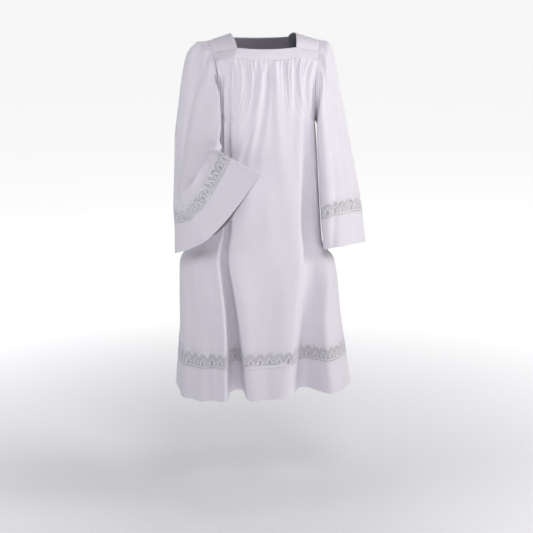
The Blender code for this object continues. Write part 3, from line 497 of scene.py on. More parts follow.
def sleeve_row(side, along, shares):
    """One section of a sleeve, from its inner point round by the front, outside and back."""
    table = SLEEVES[side]
    rows = [np.concatenate([np.ravel(cell) for cell in row[1:]]) for row in table]
    *values, squareness = through([row[0] for row in table], rows, along)
    values = np.array(values) / 1000
    outer, inner, to_front = values[:9].reshape(3, 3)
    sag_front, sag_back, inset = values[9:]
    turn = np.pi * (1 - 2 * np.linspace(0, 1, RING_POINTS))[:, None]
    power = 2 / squareness
    up, forward = np.cos(turn), np.sin(turn)
    up, forward = (np.sign(part) * np.abs(part) ** power for part in (up, forward))
    lean = to_front * forward
    lean[:, 0] *= BACK_LEAN[side] + (1 - BACK_LEAN[side]) * smooth(0.5 + 1.2 * forward[:, 0])
    lean[:, 0] *= 1 + LEAN_ABOVE[side] * up[:, 0]
    ring = (outer + inner) / 2 + (outer - inner) / 2 * up + lean
    way = -1 if side == "right" else 1
    hang = np.sin(turn[:, 0]) ** 2
    above = ARM_INSETS[way][1] * np.cos(turn[:, 0]) * max(0.0, 1 - along / 0.08)
    ring[:, 2] -= hang * np.where(turn[:, 0] > 0, sag_front, sag_back)
    ring[:, 0] += way * (SLEEVE_OFFSET - hang * (inset + above))
    return evenly(ring, shares)


def neck_side(share):
    """The neck opening's side edge on +X: an arc from its front corner over the shoulder."""
    steepest = np.radians(NECK_CURVE)
    turn = steepest * (1 - 2 * share)
    corner = np.array(NECK_FRONT_CORNER if turn > 0 else NECK_BACK_CORNER)
    top = np.array(NECK_SHOULDER)
    forward = abs(np.sin(turn)) / np.sin(steepest)
    fallen = (1 - np.cos(turn)) / (1 - np.cos(steepest))
    x = top[0] + (corner[0] - top[0]) * forward**2
    return np.array([x, corner[1] * forward, top[2] + (corner[2] - top[2]) * fallen])


def strap_row(side, down, shares):
    """Rows of a shoulder piece from the neck to the armhole, across from front to back."""
    inner = np.array([neck_side(share) * (side, 1, 1) for share in shares])
    turns = np.radians(STRAP_SEAM_TURN) * (1 - 2 * shares)
    outer = np.array([armhole(turn, side) for turn in turns])
    return inner + (outer - inner) * down


def neck_edge(share, back):
    """The neck opening's front or back edge, a shallow parabola between its corners."""
    corner = np.array(NECK_BACK_CORNER if back else NECK_FRONT_CORNER)
    sag = NECK_BACK_SAG if back else NECK_FRONT_SAG
    bulge = NECK_BACK_BULGE if back else -NECK_FRONT_BULGE
    across = 2 * share - 1
    middle = 1 - across**2
    return np.array([corner[0] * across, corner[1] + bulge * middle, corner[2] - sag * middle])


def yoke_edges(back):
    """A yoke's lower edge, and a function for its upper one: strap seam, neck edge, strap seam."""
    way = 1 if back else -1
    lower = body_row(back, 0.0, np.linspace(0, 1, RING_POINTS))
    at = lengths(lower)
    corner = at[np.argmax(np.abs(lower[:, 0]) < YOKE_CORNER_X)] / at[-1]
    turn = np.radians(STRAP_SEAM_TURN) * (-1 if back else 1)

    def top_edge(share):
        if share < corner:
            start, end, part = armhole(turn, way), neck_edge(float(back), back), share / corner
        elif share > 1 - corner:
            start, end = neck_edge(float(not back), back), armhole(turn, -way)
            part = (share - 1 + corner) / corner
        else:
            part = (share - corner) / (1 - 2 * corner)
            return neck_edge(1 - part if back else part, back)
        return start + (end - start) * part

    return lower, top_edge, corner


class Cloth:
    """A surface of cloth as a fine grid of points: rows along it, columns across it."""

    def __init__(self, row, downs, columns, closed=False, flip=1):
        self.downs = np.asarray(downs)
        self.shares = np.linspace(0, 1, columns + 1)
        self.closed, self.flip = closed, flip
        self.places = np.array([row(down, self.shares) for down in self.downs])
        self.turn_outward()

    def turn_outward(self):
        """Directions out of the surface: the cross product of its two slopes."""
        along = np.gradient(self.places, axis=0)
        if self.closed:
            ring = self.places[:, :-1]
            across = (np.roll(ring, -1, axis=1) - np.roll(ring, 1, axis=1)) / 2
            across = np.concatenate([across, across[:, :1]], axis=1)
        else:
            across = np.gradient(self.places, axis=1)
        self.outs = unit(np.cross(along, across) * self.flip)

    def lift(self, height):
        """Moves the surface out by a height for each of its points."""
        self.places = self.places + self.outs * height[..., None]
        self.turn_outward()

    def read(self, grid, down, share):
        """A grid's values at places between its points, by straight lines along both sides."""
        down, share = np.broadcast_arrays(np.asarray(down, float), np.asarray(share, float))
        row = np.interp(down, self.downs, np.arange(len(self.downs)))
        column = np.mod(share, 1.0) if self.closed else np.clip(share, 0, 1)
        column = column * (len(self.shares) - 1)
        i = np.minimum(row.astype(int), len(self.downs) - 2)
        j = np.minimum(column.astype(int), len(self.shares) - 2)
        s, t = (row - i)[..., None], (column - j)[..., None]
        upper = grid[i, j] * (1 - t) + grid[i, j + 1] * t
        lower = grid[i + 1, j] * (1 - t) + grid[i + 1, j + 1] * t
        return upper * (1 - s) + lower * s

    def at(self, down, share, lift=0.0):
        out = self.out(down, share) * np.asarray(lift)[..., None]
        return self.read(self.places, down, share) + out

    def out(self, down, share):
        return unit(self.read(self.outs, down, share))


# ---------------------------------------------------------------- folds laid on the surfaces
def drape_noise(across, along, seed, waves=9, finest=0.05):
    """Soft unevenness between -1 and 1: a sum of long waves that run mostly down the cloth."""
    draw = np.random.RandomState(seed)
    total = np.zeros(np.broadcast(across, along).shape)
    for _ in range(waves):
        width = finest * draw.uniform(1.0, 4.0)
        length = finest * draw.uniform(5.0, 16.0)
        phase, lean = draw.uniform(0, 2 * np.pi), draw.uniform(-0.12, 0.12)
        later = draw.uniform(0, 2 * np.pi)
        wave = np.sin(2 * np.pi * (across + lean * along) / width + phase)
        total += wave * np.cos(2 * np.pi * along / length + later)
    return total / waves**0.5


def gathers(shares, drop, count, seed):
    """Ridges from a gathered seam, each a squared cosine with its own height and fade.

    They are taken down together by the same trough, so that the cloth has no step between two.
    """
    draw = np.random.RandomState(seed)
    height = draw.uniform(*GATHER_SHARES, count + 2)
    fade = draw.uniform(*GATHER_FADES, count + 2)
    warp = sum(far * np.sin(2 * np.pi * often * shares + at) for far, often, at in GATHER_WARPS)
    place = count * shares + 0.5 + warp * (1 + 2 * drop)
    nearest = np.clip(np.floor(place + 0.5).astype(int), 0, count + 1)
    ridge = height[nearest] * np.cos(np.pi * (place - nearest)) ** 2
    trough = TROUGH * np.exp(-((drop / TROUGH_FADE) ** FADE_POWER))
    return ridge * np.exp(-((drop / fade[nearest]) ** FADE_POWER)) - trough


def body_height(back, cloth):
    """How far the gathers, the short folds and the drape's unevenness lift a panel, in metres."""
    shares = cloth.shares[None, :]
    drop = (cloth.downs * BODY_DROP)[:, None]
    x = cloth.places[..., 0]
    start = 0.35 + 0.65 * np.minimum(drop / 0.010, 1.0)
    edge = np.clip(np.minimum(shares, 1 - shares) * 16, 0, 1)
    ridges = gathers(shares, drop, GATHERS[back], GATHER_SEED + back)
    height = GATHER_HEIGHT * start * edge * ridges
    for x_seam, x_end, length, rise, half in SHORT_FOLDS.values():
        part = np.clip(drop / length, 0, 1)
        middle = (x_seam + (x_end - x_seam) * part) * (-1 if back else 1)
        swell = np.minimum(drop / SHORT_FOLD_RISE, 1.0) * (1 - part) ** 0.8
        wider = half * (1 + SHORT_FOLD_SPREAD * part)
        height = height + rise / 1000 * swell * np.exp(-(((x - middle) / wider) ** 2)) * edge
    calm = smooth(drop / 0.25) * (1 - 0.5 * smooth((drop - 0.80) / 0.1))
    across = shares * 1.15
    return height + BODY_DRAPE * calm * drape_noise(across, drop, DRAPE_SEED + back)


def sleeve_height(side, cloth):
    """How far the cap's gathers, the long folds and the crook lift a sleeve, in metres."""
    along, shares = cloth.downs[:, None], cloth.shares[None, :]
    cap = (shares - 0.5) / (CAP_SHARE / 2)
    inside = np.clip(CAP_EDGE - np.abs(cap), 0, 0.25) * 4
    swell = np.minimum(along / CAP_RISE, 1.0) * np.exp(-((along / CAP_FADE) ** 2))
    seed = SLEEVE_SEEDS[side]
    ridges = gathers((cap + CAP_EDGE) / (2 * CAP_EDGE), along * 0.45, CAP_GATHERS, seed)
    height = CAP_HEIGHT * inside * swell * (0.6 * np.cos(np.pi * 6 * cap) + 0.8 * ridges)
    for places, rises, half in SLEEVE_FOLDS[side].values():
        table = np.column_stack([places, np.array(rises) / 1000])
        track = np.array([through((0.0, 0.5, 1.0), table, a) for a in cloth.downs])
        place, rise = track[:, :1], track[:, 1:] * np.minimum(along / 0.08, 1.0)
        height = height + rise * np.exp(-(((shares - place) / half) ** 2))
    if side == "right":
        for middle, long, share, wide, rise in CROOK_FOLDS.values():
            around = (shares - share + 0.5) % 1.0 - 0.5
            bulge = np.exp(-(((along - middle) / long) ** 2)) * np.exp(-((around / wide) ** 2))
            height = height + rise / 1000 * bulge
    turn = 2 * np.pi * shares
    far = along * SLEEVE_LENGTH
    noise = drape_noise(SLEEVE_RADIUS * np.cos(turn), far, seed + 10)
    noise = noise + drape_noise(SLEEVE_RADIUS * np.sin(turn), far, seed + 20)
    return height + SLEEVE_DRAPE * smooth(along / 0.1) * noise


# ---------------------------------------------------------------- meshes
def put_in(name, data):
    thing = bpy.data.objects.new(name, data)
    bpy.context.scene.collection.objects.link(thing)
    return thing


def new_piece(name, points, faces, uv, paint):
    """A piece from its points, faces and flat places, riding on the garment."""
    mesh = bpy.data.meshes.new(name)
    mesh.from_pydata(points.tolist(), [], faces)
    mesh.materials.append(paint)
    layer = mesh.uv_layers.new(name="flat")
    corners = np.empty(len(mesh.loops), np.int32)
    mesh.loops.foreach_get("vertex_index", corners)
    layer.data.foreach_set("uv", uv[corners].astype(np.float32).ravel())
    mesh.shade_smooth()
    piece = put_in(name, mesh)
    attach(piece, "root")
    return piece


def thickened(piece, thickness, inside=None):
    """Gives a cut piece its thickness and lets it stand for its solid; a given inside material
    goes on its inner faces as painted shade.
    """
    shell = piece.modifiers.new("cloth", "SOLIDIFY")
    shell.thickness = thickness
    shell.offset = 0.0
    if inside:
        piece.data.materials.append(inside)
        shell.material_offset = 1
    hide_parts(piece.name.replace("_cloth", ""))
    return piece


def grid_faces(rows, columns, closed, flip):
    """Quads of a grid of vertices, joined round where it is closed."""
    wide = columns if closed else columns + 1
    i, j = np.meshgrid(np.arange(rows), np.arange(columns), indexing="ij")
    k = (j + 1) % wide
    quads = np.stack([i * wide + j, (i + 1) * wide + j, (i + 1) * wide + k, i * wide + k], -1)
    quads = quads.reshape(-1, 4)
    return (quads if flip > 0 else quads[:, ::-1]).tolist()


def cloth_piece(name, cloth, downs, columns, size, paints, tuck=(0.0, 0.0)):
    """A cut piece: the part of a cloth between two places along it, as a thin shell.

    Its top and bottom edges dip by tuck, in metres, as cloth does into a seam.
    """
    shares = np.linspace(0, 1, columns + 1)
    if cloth.closed:
        shares = shares[:-1]
    down, share = np.meshgrid(downs, shares, indexing="ij")
    reach = SEAM_DIP / size[1]
    part = (down - downs[0]) / (downs[-1] - downs[0])
    dip = tuck[0] * np.exp(-((part / reach) ** 2)) + tuck[1] * np.exp(-(((1 - part) / reach) ** 2))
    points = cloth.at(down, share, -dip).reshape(-1, 3)
    uv = np.stack([share * size[0], (1 - part) * size[1]], -1).reshape(-1, 2)
    faces = grid_faces(len(downs) - 1, columns, cloth.closed, cloth.flip)
    piece = new_piece(name, points, faces, uv, paints["linen"])
    # The shell's inner faces take the inside material: painted shade, darker than the cloth.
    return thickened(piece, CLOTH, paints["inside"])


def seam_rows(start, end, count, size, edge=0.004, steps=3):
    """Places along a piece: a few close together at both seams, the rest spread evenly."""
    near = edge / size
    first = start + (end - start) * near * np.linspace(0, 1, steps + 1)
    last = end - (end - start) * near * np.linspace(1, 0, steps + 1)
    return np.concatenate([first[:-1], np.linspace(first[-1], last[0], count), last[1:]])


# ---------------------------------------------------------------- lace
BRICK = np.array([(-1, -1), (0, -1), (1, -1), (1, 0), (1, 1), (0, 1), (-1, 1), (-1, 0)]) / 2


def ringed(outer, inner):
    """Quads between many pairs of rings with as many points each, the outer ones lifted."""
    count, sides = outer.shape[:2]
    lift = np.zeros((count, 2 * sides, 1))
    lift[:, :sides] = THREAD_LIFT
    points = np.concatenate([np.concatenate([outer, inner], axis=1), lift], axis=2)
    k = np.arange(sides)
    after = (k + 1) % sides
    quads = np.stack([k, after, sides + after, sides + k], -1)
    quads = np.arange(count)[:, None, None] * 2 * sides + quads
    return points.reshape(-1, 3), quads.reshape(-1, 4)


def eyelets(places, middle, wide, tall, radius):
    """Bricks in a row, each with an eight-sided hole round its middle."""
    centres = np.stack([places, np.full(len(places), middle)], -1)[:, None]
    turn = np.arctan2(BRICK[:, 1], BRICK[:, 0])
    hole = radius * np.stack([np.cos(turn), np.sin(turn)], -1)
    return ringed(centres + BRICK * (wide, tall), centres + hole)


def whole(places, middle, wide, tall):
    """Bricks in a row with no hole, raised a little in their middles: four quads each."""
    centres = np.stack([places, np.full(len(places), middle)], -1)[:, None]
    flat = np.concatenate([centres + BRICK * (wide, tall), centres], axis=1)
    lift = np.full((*flat.shape[:2], 1), THREAD_LIFT)
    lift[:, -1] *= 2
    corner = np.array([0, 2, 4, 6])
    quads = np.stack([corner, corner + 1, np.full(4, 8), (corner - 1) % 8], -1)
    quads = np.arange(len(places))[:, None, None] * 9 + quads
    return np.concatenate([flat, lift], axis=2).reshape(-1, 3), quads.reshape(-1, 4)


def cord(levels, end):
    """A plain strip along the band, raised along its middle."""
    places = np.arange(0.0, end + 1.0, BRICK_WIDE / 2)
    x, y = np.meshgrid(places, levels)
    lift = np.zeros_like(x)
    lift[1] = CORD_LIFT
    quads = grid_faces(2, len(places) - 1, False, -1)
    return np.stack([x, y, lift], -1).reshape(-1, 3), np.array(quads)


def whole_ring(half):
    """A window's ring from its right half, starting at its lower left corner."""
    right = np.array(half, float)
    left = right[-2:0:-1] * (-1, 1) + (2 * WINDOW_MIDDLE, 0)
    return np.roll(np.concatenate([right, left]), 2, axis=0)


def window_net(repeats):
    """The fine net in the windows: narrow bars across each arch and up it."""
    arch = whole_ring(WINDOW_ARCH)
    half = len(arch) // 2 + 2
    right, left = arch[4:half + 1], arch[half:][::-1]
    inside = WINDOW_BARS / 2
    levels = np.arange(arch[0, 1] + inside, arch[half, 1] - inside, WINDOW_BARS)
    east = np.interp(levels, right[:, 1], right[:, 0])
    west = np.interp(levels, left[:, 1], left[:, 0])
    bars = [np.stack([west, levels - BAR_WIDE / 2, east, levels + BAR_WIDE / 2], -1)]
    middle = arch[2, 0]
    upright = middle + np.arange(-2, 3) * WINDOW_BARS
    top = np.interp(np.abs(upright - middle), (right[:, 0] - middle)[::-1], right[::-1, 1])
    low = np.full(len(upright), arch[0, 1])
    bars.append(np.stack([upright - BAR_WIDE / 2, low, upright + BAR_WIDE / 2, top], -1))
    a, b, c, d = np.concatenate(bars).T
    lift = np.repeat([0.0, UPRIGHT_LIFT], [len(levels), len(upright)])
    one = np.stack([[a, b, lift], [c, b, lift], [c, d, lift], [a, d, lift]]).transpose(2, 0, 1)
    many = one[None] + np.arange(repeats)[:, None, None, None] * (REPEAT, 0, 0)
    points = many.reshape(-1, 3)
    return points, np.arange(len(points)).reshape(-1, 4)


def gathered_up(parts):
    """Parts of points and quads as one."""
    firsts = np.cumsum([0] + [len(points) for points, _ in parts[:-1]])
    quads = [quads + first for (_, quads), first in zip(parts, firsts)]
    return np.concatenate([points for points, _ in parts]), np.concatenate(quads)


def lace_flat(repeats):
    """The whole band laid flat: points in millimetres with a lift, and quads, all facing up."""
    end = repeats * REPEAT
    starts = np.arange(repeats) * REPEAT
    parts = []
    for middle, tall, radius, holed, filled in NET_ROWS:
        for place in holed:
            at = starts[1:] if place == 0 else starts + place
            parts.append(eyelets(at, middle, BRICK_WIDE, tall, radius))
        for place in filled:
            at = starts[1:] if place == 0 else starts + place
            parts.append(whole(at, middle, BRICK_WIDE, tall))
        if 0.0 in holed + filled:
            ends = np.array([BRICK_WIDE / 4, end - BRICK_WIDE / 4])
            parts.append(whole(ends, middle, BRICK_WIDE / 2, tall))
    middle, places = HALF_BRICKS
    for place in places:
        parts.append(whole(starts + place, middle, BRICK_WIDE / 2, NET_ROWS[1][1]))
    shift = starts[:, None, None] * (1, 0)
    parts.append(ringed(whole_ring(WINDOW_EDGE) + shift, whole_ring(WINDOW_ARCH) + shift))
    middle, wide, tall, radius = BEADING
    parts.append(eyelets(np.arange(wide / 2, end, wide), middle, wide, tall, radius))
    parts += [cord(levels, end) for levels in CORDS]
    points, quads = gathered_up(parts)
    key = np.floor(points[:, :2] * 20 + 0.37).astype(np.int64)
    _, first, index = np.unique(key, axis=0, return_index=True, return_inverse=True)
    return gathered_up([(points[first], index.reshape(-1)[quads]), window_net(repeats)])


def lace_piece(name, cloth, top, bottom, shares, repeats, paints):
    """A lace band laid on a cloth: flat x runs across it and flat y up from the hem side."""
    flat, quads = lace_flat(repeats)
    share = shares[0] + (shares[1] - shares[0]) * flat[:, 0] / (repeats * REPEAT)
    down = bottom + (top - bottom) * flat[:, 1] / LACE_MM
    points = cloth.at(down, share, flat[:, 2] / 1000)
    faces = (quads if cloth.flip > 0 else quads[:, ::-1]).tolist()
    uv = flat[:, :2] / 1000
    lace = new_piece(name, points, faces, uv, paints["thread"])
    return thickened(lace, LACE_CLOTH)


# ---------------------------------------------------------------- stitches, cords and rolls
# One stitch: points along, across and out, raised to a ridge and open where it meets the cloth.
STITCH = np.array(
    [
        (-0.5, 0.0, 0.0), (-0.3, -0.5, 0.1), (0.3, -0.5, 0.1), (0.5, 0.0, 0.0),
        (0.3, 0.5, 0.1), (-0.3, 0.5, 0.1), (-0.3, 0.0, 1.0), (0.3, 0.0, 1.0),
    ]
)
STITCH_FACES = [(0, 1, 6), (1, 2, 7, 6), (2, 3, 7), (3, 4, 7), (4, 5, 6, 7), (5, 0, 6)]
STITCH_HIGH = 0.0004
STITCH_AIM = 0.001  # how far ahead and behind its direction is taken


def stitched(path, outs):
    """Small raised stitches at an even pitch along a path of points, each lying along it."""
    length = lengths(path)
    count = int(length[-1] / STITCH_PITCH)
    wanted = (np.arange(count) + 0.5) * length[-1] / count
    at = read_along(path, length, wanted)
    ahead = read_along(path, length, wanted + STITCH_AIM)
    along = unit(ahead - read_along(path, length, wanted - STITCH_AIM))
    across = unit(np.cross(read_along(outs, length, wanted), along))
    out = np.cross(along, across)
    points = (
        at[:, None]
        + along[:, None] * STITCH[None, :, :1] * STITCH_LENGTH
        + across[:, None] * STITCH[None, :, 1:2] * STITCH_WIDTH
        + out[:, None] * (STITCH[None, :, 2:] * STITCH_HIGH + CLOTH / 2)
    )
    faces = [tuple(c + 8 * k for c in face) for k in range(count) for face in STITCH_FACES]
    return points.reshape(-1, 3), faces


def stitch_piece(name, lines, paint):
    points, faces, first = [], [], 0
    for path, outs in lines:
        part, part_faces = stitched(path, outs)
        points.append(part)
        faces += [tuple(c + first for c in face) for face in part_faces]
        first += len(part)
    points = np.concatenate(points)
    return new_piece(name, points, faces, points[:, [0, 2]], paint)


def line_on(cloth, down, share):
    """A path on a cloth and the directions out of it."""
    return cloth.at(down, share), cloth.out(down, share)


def tube(path, outs, width, depth, sides=8, closed=False):
    """An oval tube along a path, wide across the cloth and shallow out of it."""
    count = len(path)
    if closed:
        along = np.roll(path, -1, axis=0) - np.roll(path, 1, axis=0)
    else:
        along = np.gradient(path, axis=0)
    along = unit(along)
    across = unit(np.cross(along, outs))
    out = np.cross(across, along)
    turn = 2 * np.pi * np.arange(sides) / sides
    ring = across[:, None] * (np.cos(turn) * width / 2)[None, :, None]
    ring = ring + out[:, None] * (np.sin(turn) * depth / 2)[None, :, None]
    points = (path[:, None] + ring).reshape(-1, 3)
    i, j = np.meshgrid(np.arange(count if closed else count - 1), np.arange(sides), indexing="ij")
    k, n = (j + 1) % sides, (i + 1) % count
    quads = np.stack([i * sides + j, i * sides + k, n * sides + k, n * sides + j], -1)
    faces = quads.reshape(-1, 4).tolist()
    if not closed:
        faces += [list(range(sides))[::-1], [(count - 1) * sides + s for s in range(sides)]]
    return points, faces


# ---------------------------------------------------------------- materials
class Socket:
    """A shader value that Python's operators work on: each adds a Math node."""

    def __init__(self, tree, socket):
        self.tree, self.socket = tree, socket

    def node(self, kind, settings=(), outputs=0, **inputs):
        """Adds a node, sets its settings, then its sockets by name or number: one output of it."""
        made = self.tree.nodes.new(kind)
        for key, value in dict(settings).items():
            setattr(made, key, value)
        for key, value in inputs.items():
            socket = made.inputs[int(key[1:]) if key[1:].isdigit() else key.replace("_", " ")]
            if isinstance(value, Socket):
                self.tree.links.new(value.socket, socket)
            else:
                socket.default_value = value
        return Socket(self.tree, made.outputs[outputs])

    def math(self, operation, other=0.0):
        return self.node("ShaderNodeMath", {"operation": operation}, i0=self, i1=other)

    def __add__(self, other):
        return self.math("ADD", other)

    def __mul__(self, other):
        return self.math("MULTIPLY", other)

    def sine(self):
        return self.math("SINE")

    def between(self, low, high):
        """This value carried from low..high to 0..1 and kept inside it."""
        kind = {"clamp": True}
        return self.node("ShaderNodeMapRange", kind, Value=self, From_Min=low, From_Max=high)

    def mix(self, first, second):
        """A colour between two, by this value."""
        kind = {"data_type": "RGBA"}
        return self.node("ShaderNodeMix", kind, outputs=2, i0=self, i6=first, i7=second)

    def noise(self, scale, detail=2.0, roughness=0.5):
        """Cloudy unevenness over this place, with so many spots to the metre."""
        return self.node(
            "ShaderNodeTexNoise", Vector=self, Scale=scale, Detail=detail, Roughness=roughness
        )

    def stretched(self, scale):
        return self.node("ShaderNodeMapping", {"vector_type": "POINT"}, Vector=self, Scale=scale)

    def split(self):
        """A flat place's two parts, across the cloth and along it."""
        across = self.node("ShaderNodeSeparateXYZ", Vector=self)
        return across, Socket(self.tree, across.socket.node.outputs[1])

    def bump(self, strength, distance):
        return self.node("ShaderNodeBump", Height=self, Strength=strength, Distance=distance)

    def into(self, shader, name):
        self.tree.links.new(self.socket, shader.inputs[name])


def material(name, colour, roughness, sheen):
    """A shader with what is the same all over the cloth: it, its flat places and the shader."""
    made = bpy.data.materials.new(name)
    made.use_nodes = True
    tree = made.node_tree
    shader = tree.nodes["Principled BSDF"]
    shader.inputs["Base Color"].default_value = colour
    shader.inputs["Roughness"].default_value = roughness
    shader.inputs["Sheen Weight"].default_value = sheen
    shader.inputs["Sheen Roughness"].default_value = 0.45
    shader.inputs["Specular IOR Level"].default_value = 0.25
    flat = tree.nodes.new("ShaderNodeUVMap")
    flat.uv_map = "flat"
    return made, Socket(tree, flat.outputs[0]), shader


WEAVE_PITCH = 0.0011
TWIST_PITCH = 0.0009
SLUB_LONG, SLUB_FINE = 90.0, 1100.0  # thicker threads to the metre, along them and across
PATCHES = 9.0
GRAIN = 700.0


def linen(name, light, shade):
    """Fine plain weave: threads half a millimetre apart with thicker ones here and there."""
    made, uv, shader = material(name, light, 0.80, 0.25)
    across, along = uv.split()
    slubs = uv.stretched((SLUB_LONG, SLUB_FINE, 1.0)).noise(1.0)
    ends = uv.stretched((SLUB_FINE, SLUB_LONG, 1.0)).noise(1.0)
    patches = uv.noise(PATCHES, 3.0, 0.55)
    thread = 2 * np.pi / WEAVE_PITCH
    weave = (across * thread).sine() * (along * thread).sine()
    (slubs * 0.9 + ends * 0.45 + weave * 0.22).bump(0.22, 0.0004).into(shader, "Normal")
    tone = slubs * 0.45 + ends * 0.20 + patches * 0.35
    tone.between(0.35, 0.65).mix(shade, light).into(shader, "Base Color")
    (tone * 0.14 + 0.73).into(shader, "Roughness")
    return made


def thread(name, colour):
    """Cotton lace thread: a fine slanting twist over an even white."""
    made, uv, shader = material(name, colour, 0.75, 0.3)
    across, along = uv.split()
    twist = ((across + along) * (2 * np.pi / TWIST_PITCH)).sine()
    grain = uv.noise(GRAIN)
    (twist * 0.4 + grain).bump(0.35, 0.0003).into(shader, "Normal")
    darker = tuple(channel * 0.92 for channel in colour[:3]) + (1.0,)
    grain.between(0.3, 0.7).mix(darker, colour).into(shader, "Base Color")
    return made


# ---------------------------------------------------------------- the pieces
def build_body(stitches, paints):
    rows = ladder((0, 0.12, 70), (0.12, 0.35, 60), (0.35, 1, 130))
    tall = BODY_DROP * LACE_TOP
    downs = ladder(
        [0.0, 0.0012, 0.0025, 0.004],
        (0.006, 0.10, 24),
        (0.105, 0.30, 26),
        (0.31, LACE_TOP - 0.004, 50),
        [LACE_TOP - 0.0025, LACE_TOP - 0.0012, LACE_TOP],
    )
    hem = seam_rows(LACE_BOTTOM, 1.0, 12, HEM_BAND)
    for face, back in (("front", False), ("back", True)):
        cloth = Cloth(lambda down, shares: body_row(back, down, shares), rows, BODY_FINE)
        cloth.lift(body_height(back, cloth))
        wide, area, strip = PANEL_CUTS[face]
        repeats, whole_width = REPEATS[face], (0.0, 1.0)
        panel = cloth_piece(
            f"{face}_panel_cloth", cloth, downs, PANEL_COLUMNS, (wide, tall), paints, PANEL_TUCK
        )
        lace = lace_piece(
            f"body_lace_{face}_cloth", cloth, LACE_TOP, LACE_BOTTOM, whole_width, repeats, paints
        )
        band = cloth_piece(
            f"hem_band_{face}_cloth", cloth, hem, HEM_COLUMNS, (strip, HEM_BAND), paints, BAND_TUCK
        )
        share = np.linspace(0.002, 0.998, 900)
        for down in (LACE_TOP - BODY_STITCHING[0], LACE_BOTTOM + BODY_STITCHING[1]):
            stitches.append(line_on(cloth, down, share))
        ridge = zigzag(
            f"body_zigzag_{face}", cloth, LACE_TOP, BODY_DROP, whole_width, repeats, paints
        )


def zigzag(name, cloth, top, size, shares, repeats, paints):
    """The raised ridge over the lace, whose peaks stand above its windows."""
    place = np.arange(repeats * ZIGZAG_STEPS + 1) / ZIGZAG_STEPS
    tooth = np.abs(np.mod(place, 1.0) - 0.5) * 2
    height = ZIGZAG_PEAK + (ZIGZAG_FOOT - ZIGZAG_PEAK) * tooth
    share = shares[0] + (shares[1] - shares[0]) * place / repeats
    path, outs = line_on(cloth, top - height / size, np.clip(share, 0.0005, 0.9995))
    path = path + outs * CLOTH / 2
    points, faces = tube(path, outs, ZIGZAG_WIDTH, ZIGZAG_DEPTH, 6)
    uv = np.repeat(np.stack([place * REPEAT / 1000, height], -1), 6, axis=0)
    return new_piece(name, points, faces, uv, paints["linen"])


def build_sleeves(stitches, paints):
    for side in ("right", "left"):
        flip = 1 if side == "left" else -1
        rows = ladder((0, 0.2, 60), (0.2, 1, 200))
        cloth = Cloth(
            lambda along, shares: sleeve_row(side, along, shares), rows, SLEEVE_FINE, True, flip
        )
        cloth.lift(sleeve_height(side, cloth))
        top, bottom = SLEEVE_LACE[side]
        long, deep = SLEEVE_LENGTH * top, SLEEVE_LENGTH * (1 - bottom)
        downs = ladder(
            [0.0, 0.003, 0.006],
            (0.01, 0.2, 24),
            (0.21, top - 0.005, 76),
            [top - 0.003, top - 0.0015, top],
        )
        wide, area, strip = SLEEVE_CUT
        repeats = REPEATS["sleeve"]
        sleeve = cloth_piece(
            f"sleeve_{side}_cloth", cloth, downs, SLEEVE_COLUMNS, (wide, long), paints, SLEEVE_TUCK
        )
        for face, shares in (("front", (0.0, 0.5)), ("back", (0.5, 1.0))):
            lace = lace_piece(
                f"sleeve_lace_{side}_{face}_cloth", cloth, top, bottom, shares, repeats, paints
            )
        cuff = seam_rows(bottom, 1.0, 14, deep)
        band = cloth_piece(
            f"cuff_band_{side}_cloth", cloth, cuff, SLEEVE_COLUMNS, (strip, deep), paints,
            BAND_TUCK,
        )
        share = np.linspace(0, 1, 600)
        for down in (top - SLEEVE_STITCHING[0], bottom + SLEEVE_STITCHING[1]):
            stitches.append(line_on(cloth, down, share))
        ridge = zigzag(
            f"sleeve_zigzag_{side}", cloth, top, SLEEVE_LENGTH, (0.0, 1.0), 2 * repeats, paints
        )


def build_yokes(stitches, paints):
    for face, back in (("front", False), ("back", True)):
        lower, top_edge, corner = yoke_edges(back)
        way = 1 if back else -1

        def row(down, shares):
            bottom = evenly(lower, shares)
            top = np.array([top_edge(share) for share in shares])
            points = top + (bottom - top) * down
            points[:, 1] += way * YOKE_SWELL * np.sin(np.pi * down)
            return points

        cloth = Cloth(row, np.linspace(0, 1, 25), YOKE_FINE)
        wide, tall = YOKE_CUTS[face]
        piece = cloth_piece(
            f"{face}_yoke_cloth", cloth, np.linspace(0, 1, 17), YOKE_COLUMNS, (wide, tall), paints,
            YOKE_TUCK,
        )
        share = np.linspace(0.004, 0.996, 400)
        stitches.append(line_on(cloth, 1 - YOKE_STITCHING[1] / tall, share))
        for ends in ((0.01, corner - 0.004), (1 - corner + 0.004, 0.99)):
            stitches.append(line_on(cloth, YOKE_STITCHING[0] / tall, np.linspace(*ends, 60)))
        upright = np.linspace(0.12, 0.88, 30)
        for share in (corner, 1 - corner):
            stitches.append(line_on(cloth, upright, share))


def build_straps(stitches, paints):
    for name, side in (("shoulder_right", -1), ("shoulder_left", 1)):
        rows = np.linspace(0, 1, 13)
        cloth = Cloth(
            lambda down, shares: strap_row(side, down, shares), rows, STRAP_FINE, False, side
        )
        piece = cloth_piece(f"{name}_cloth", cloth, rows, STRAP_COLUMNS, STRAP_CUT, paints)
        down = np.linspace(0.03, 0.97, 60)
        for share in (0.016, 0.984):
            stitches.append(line_on(cloth, down, share))


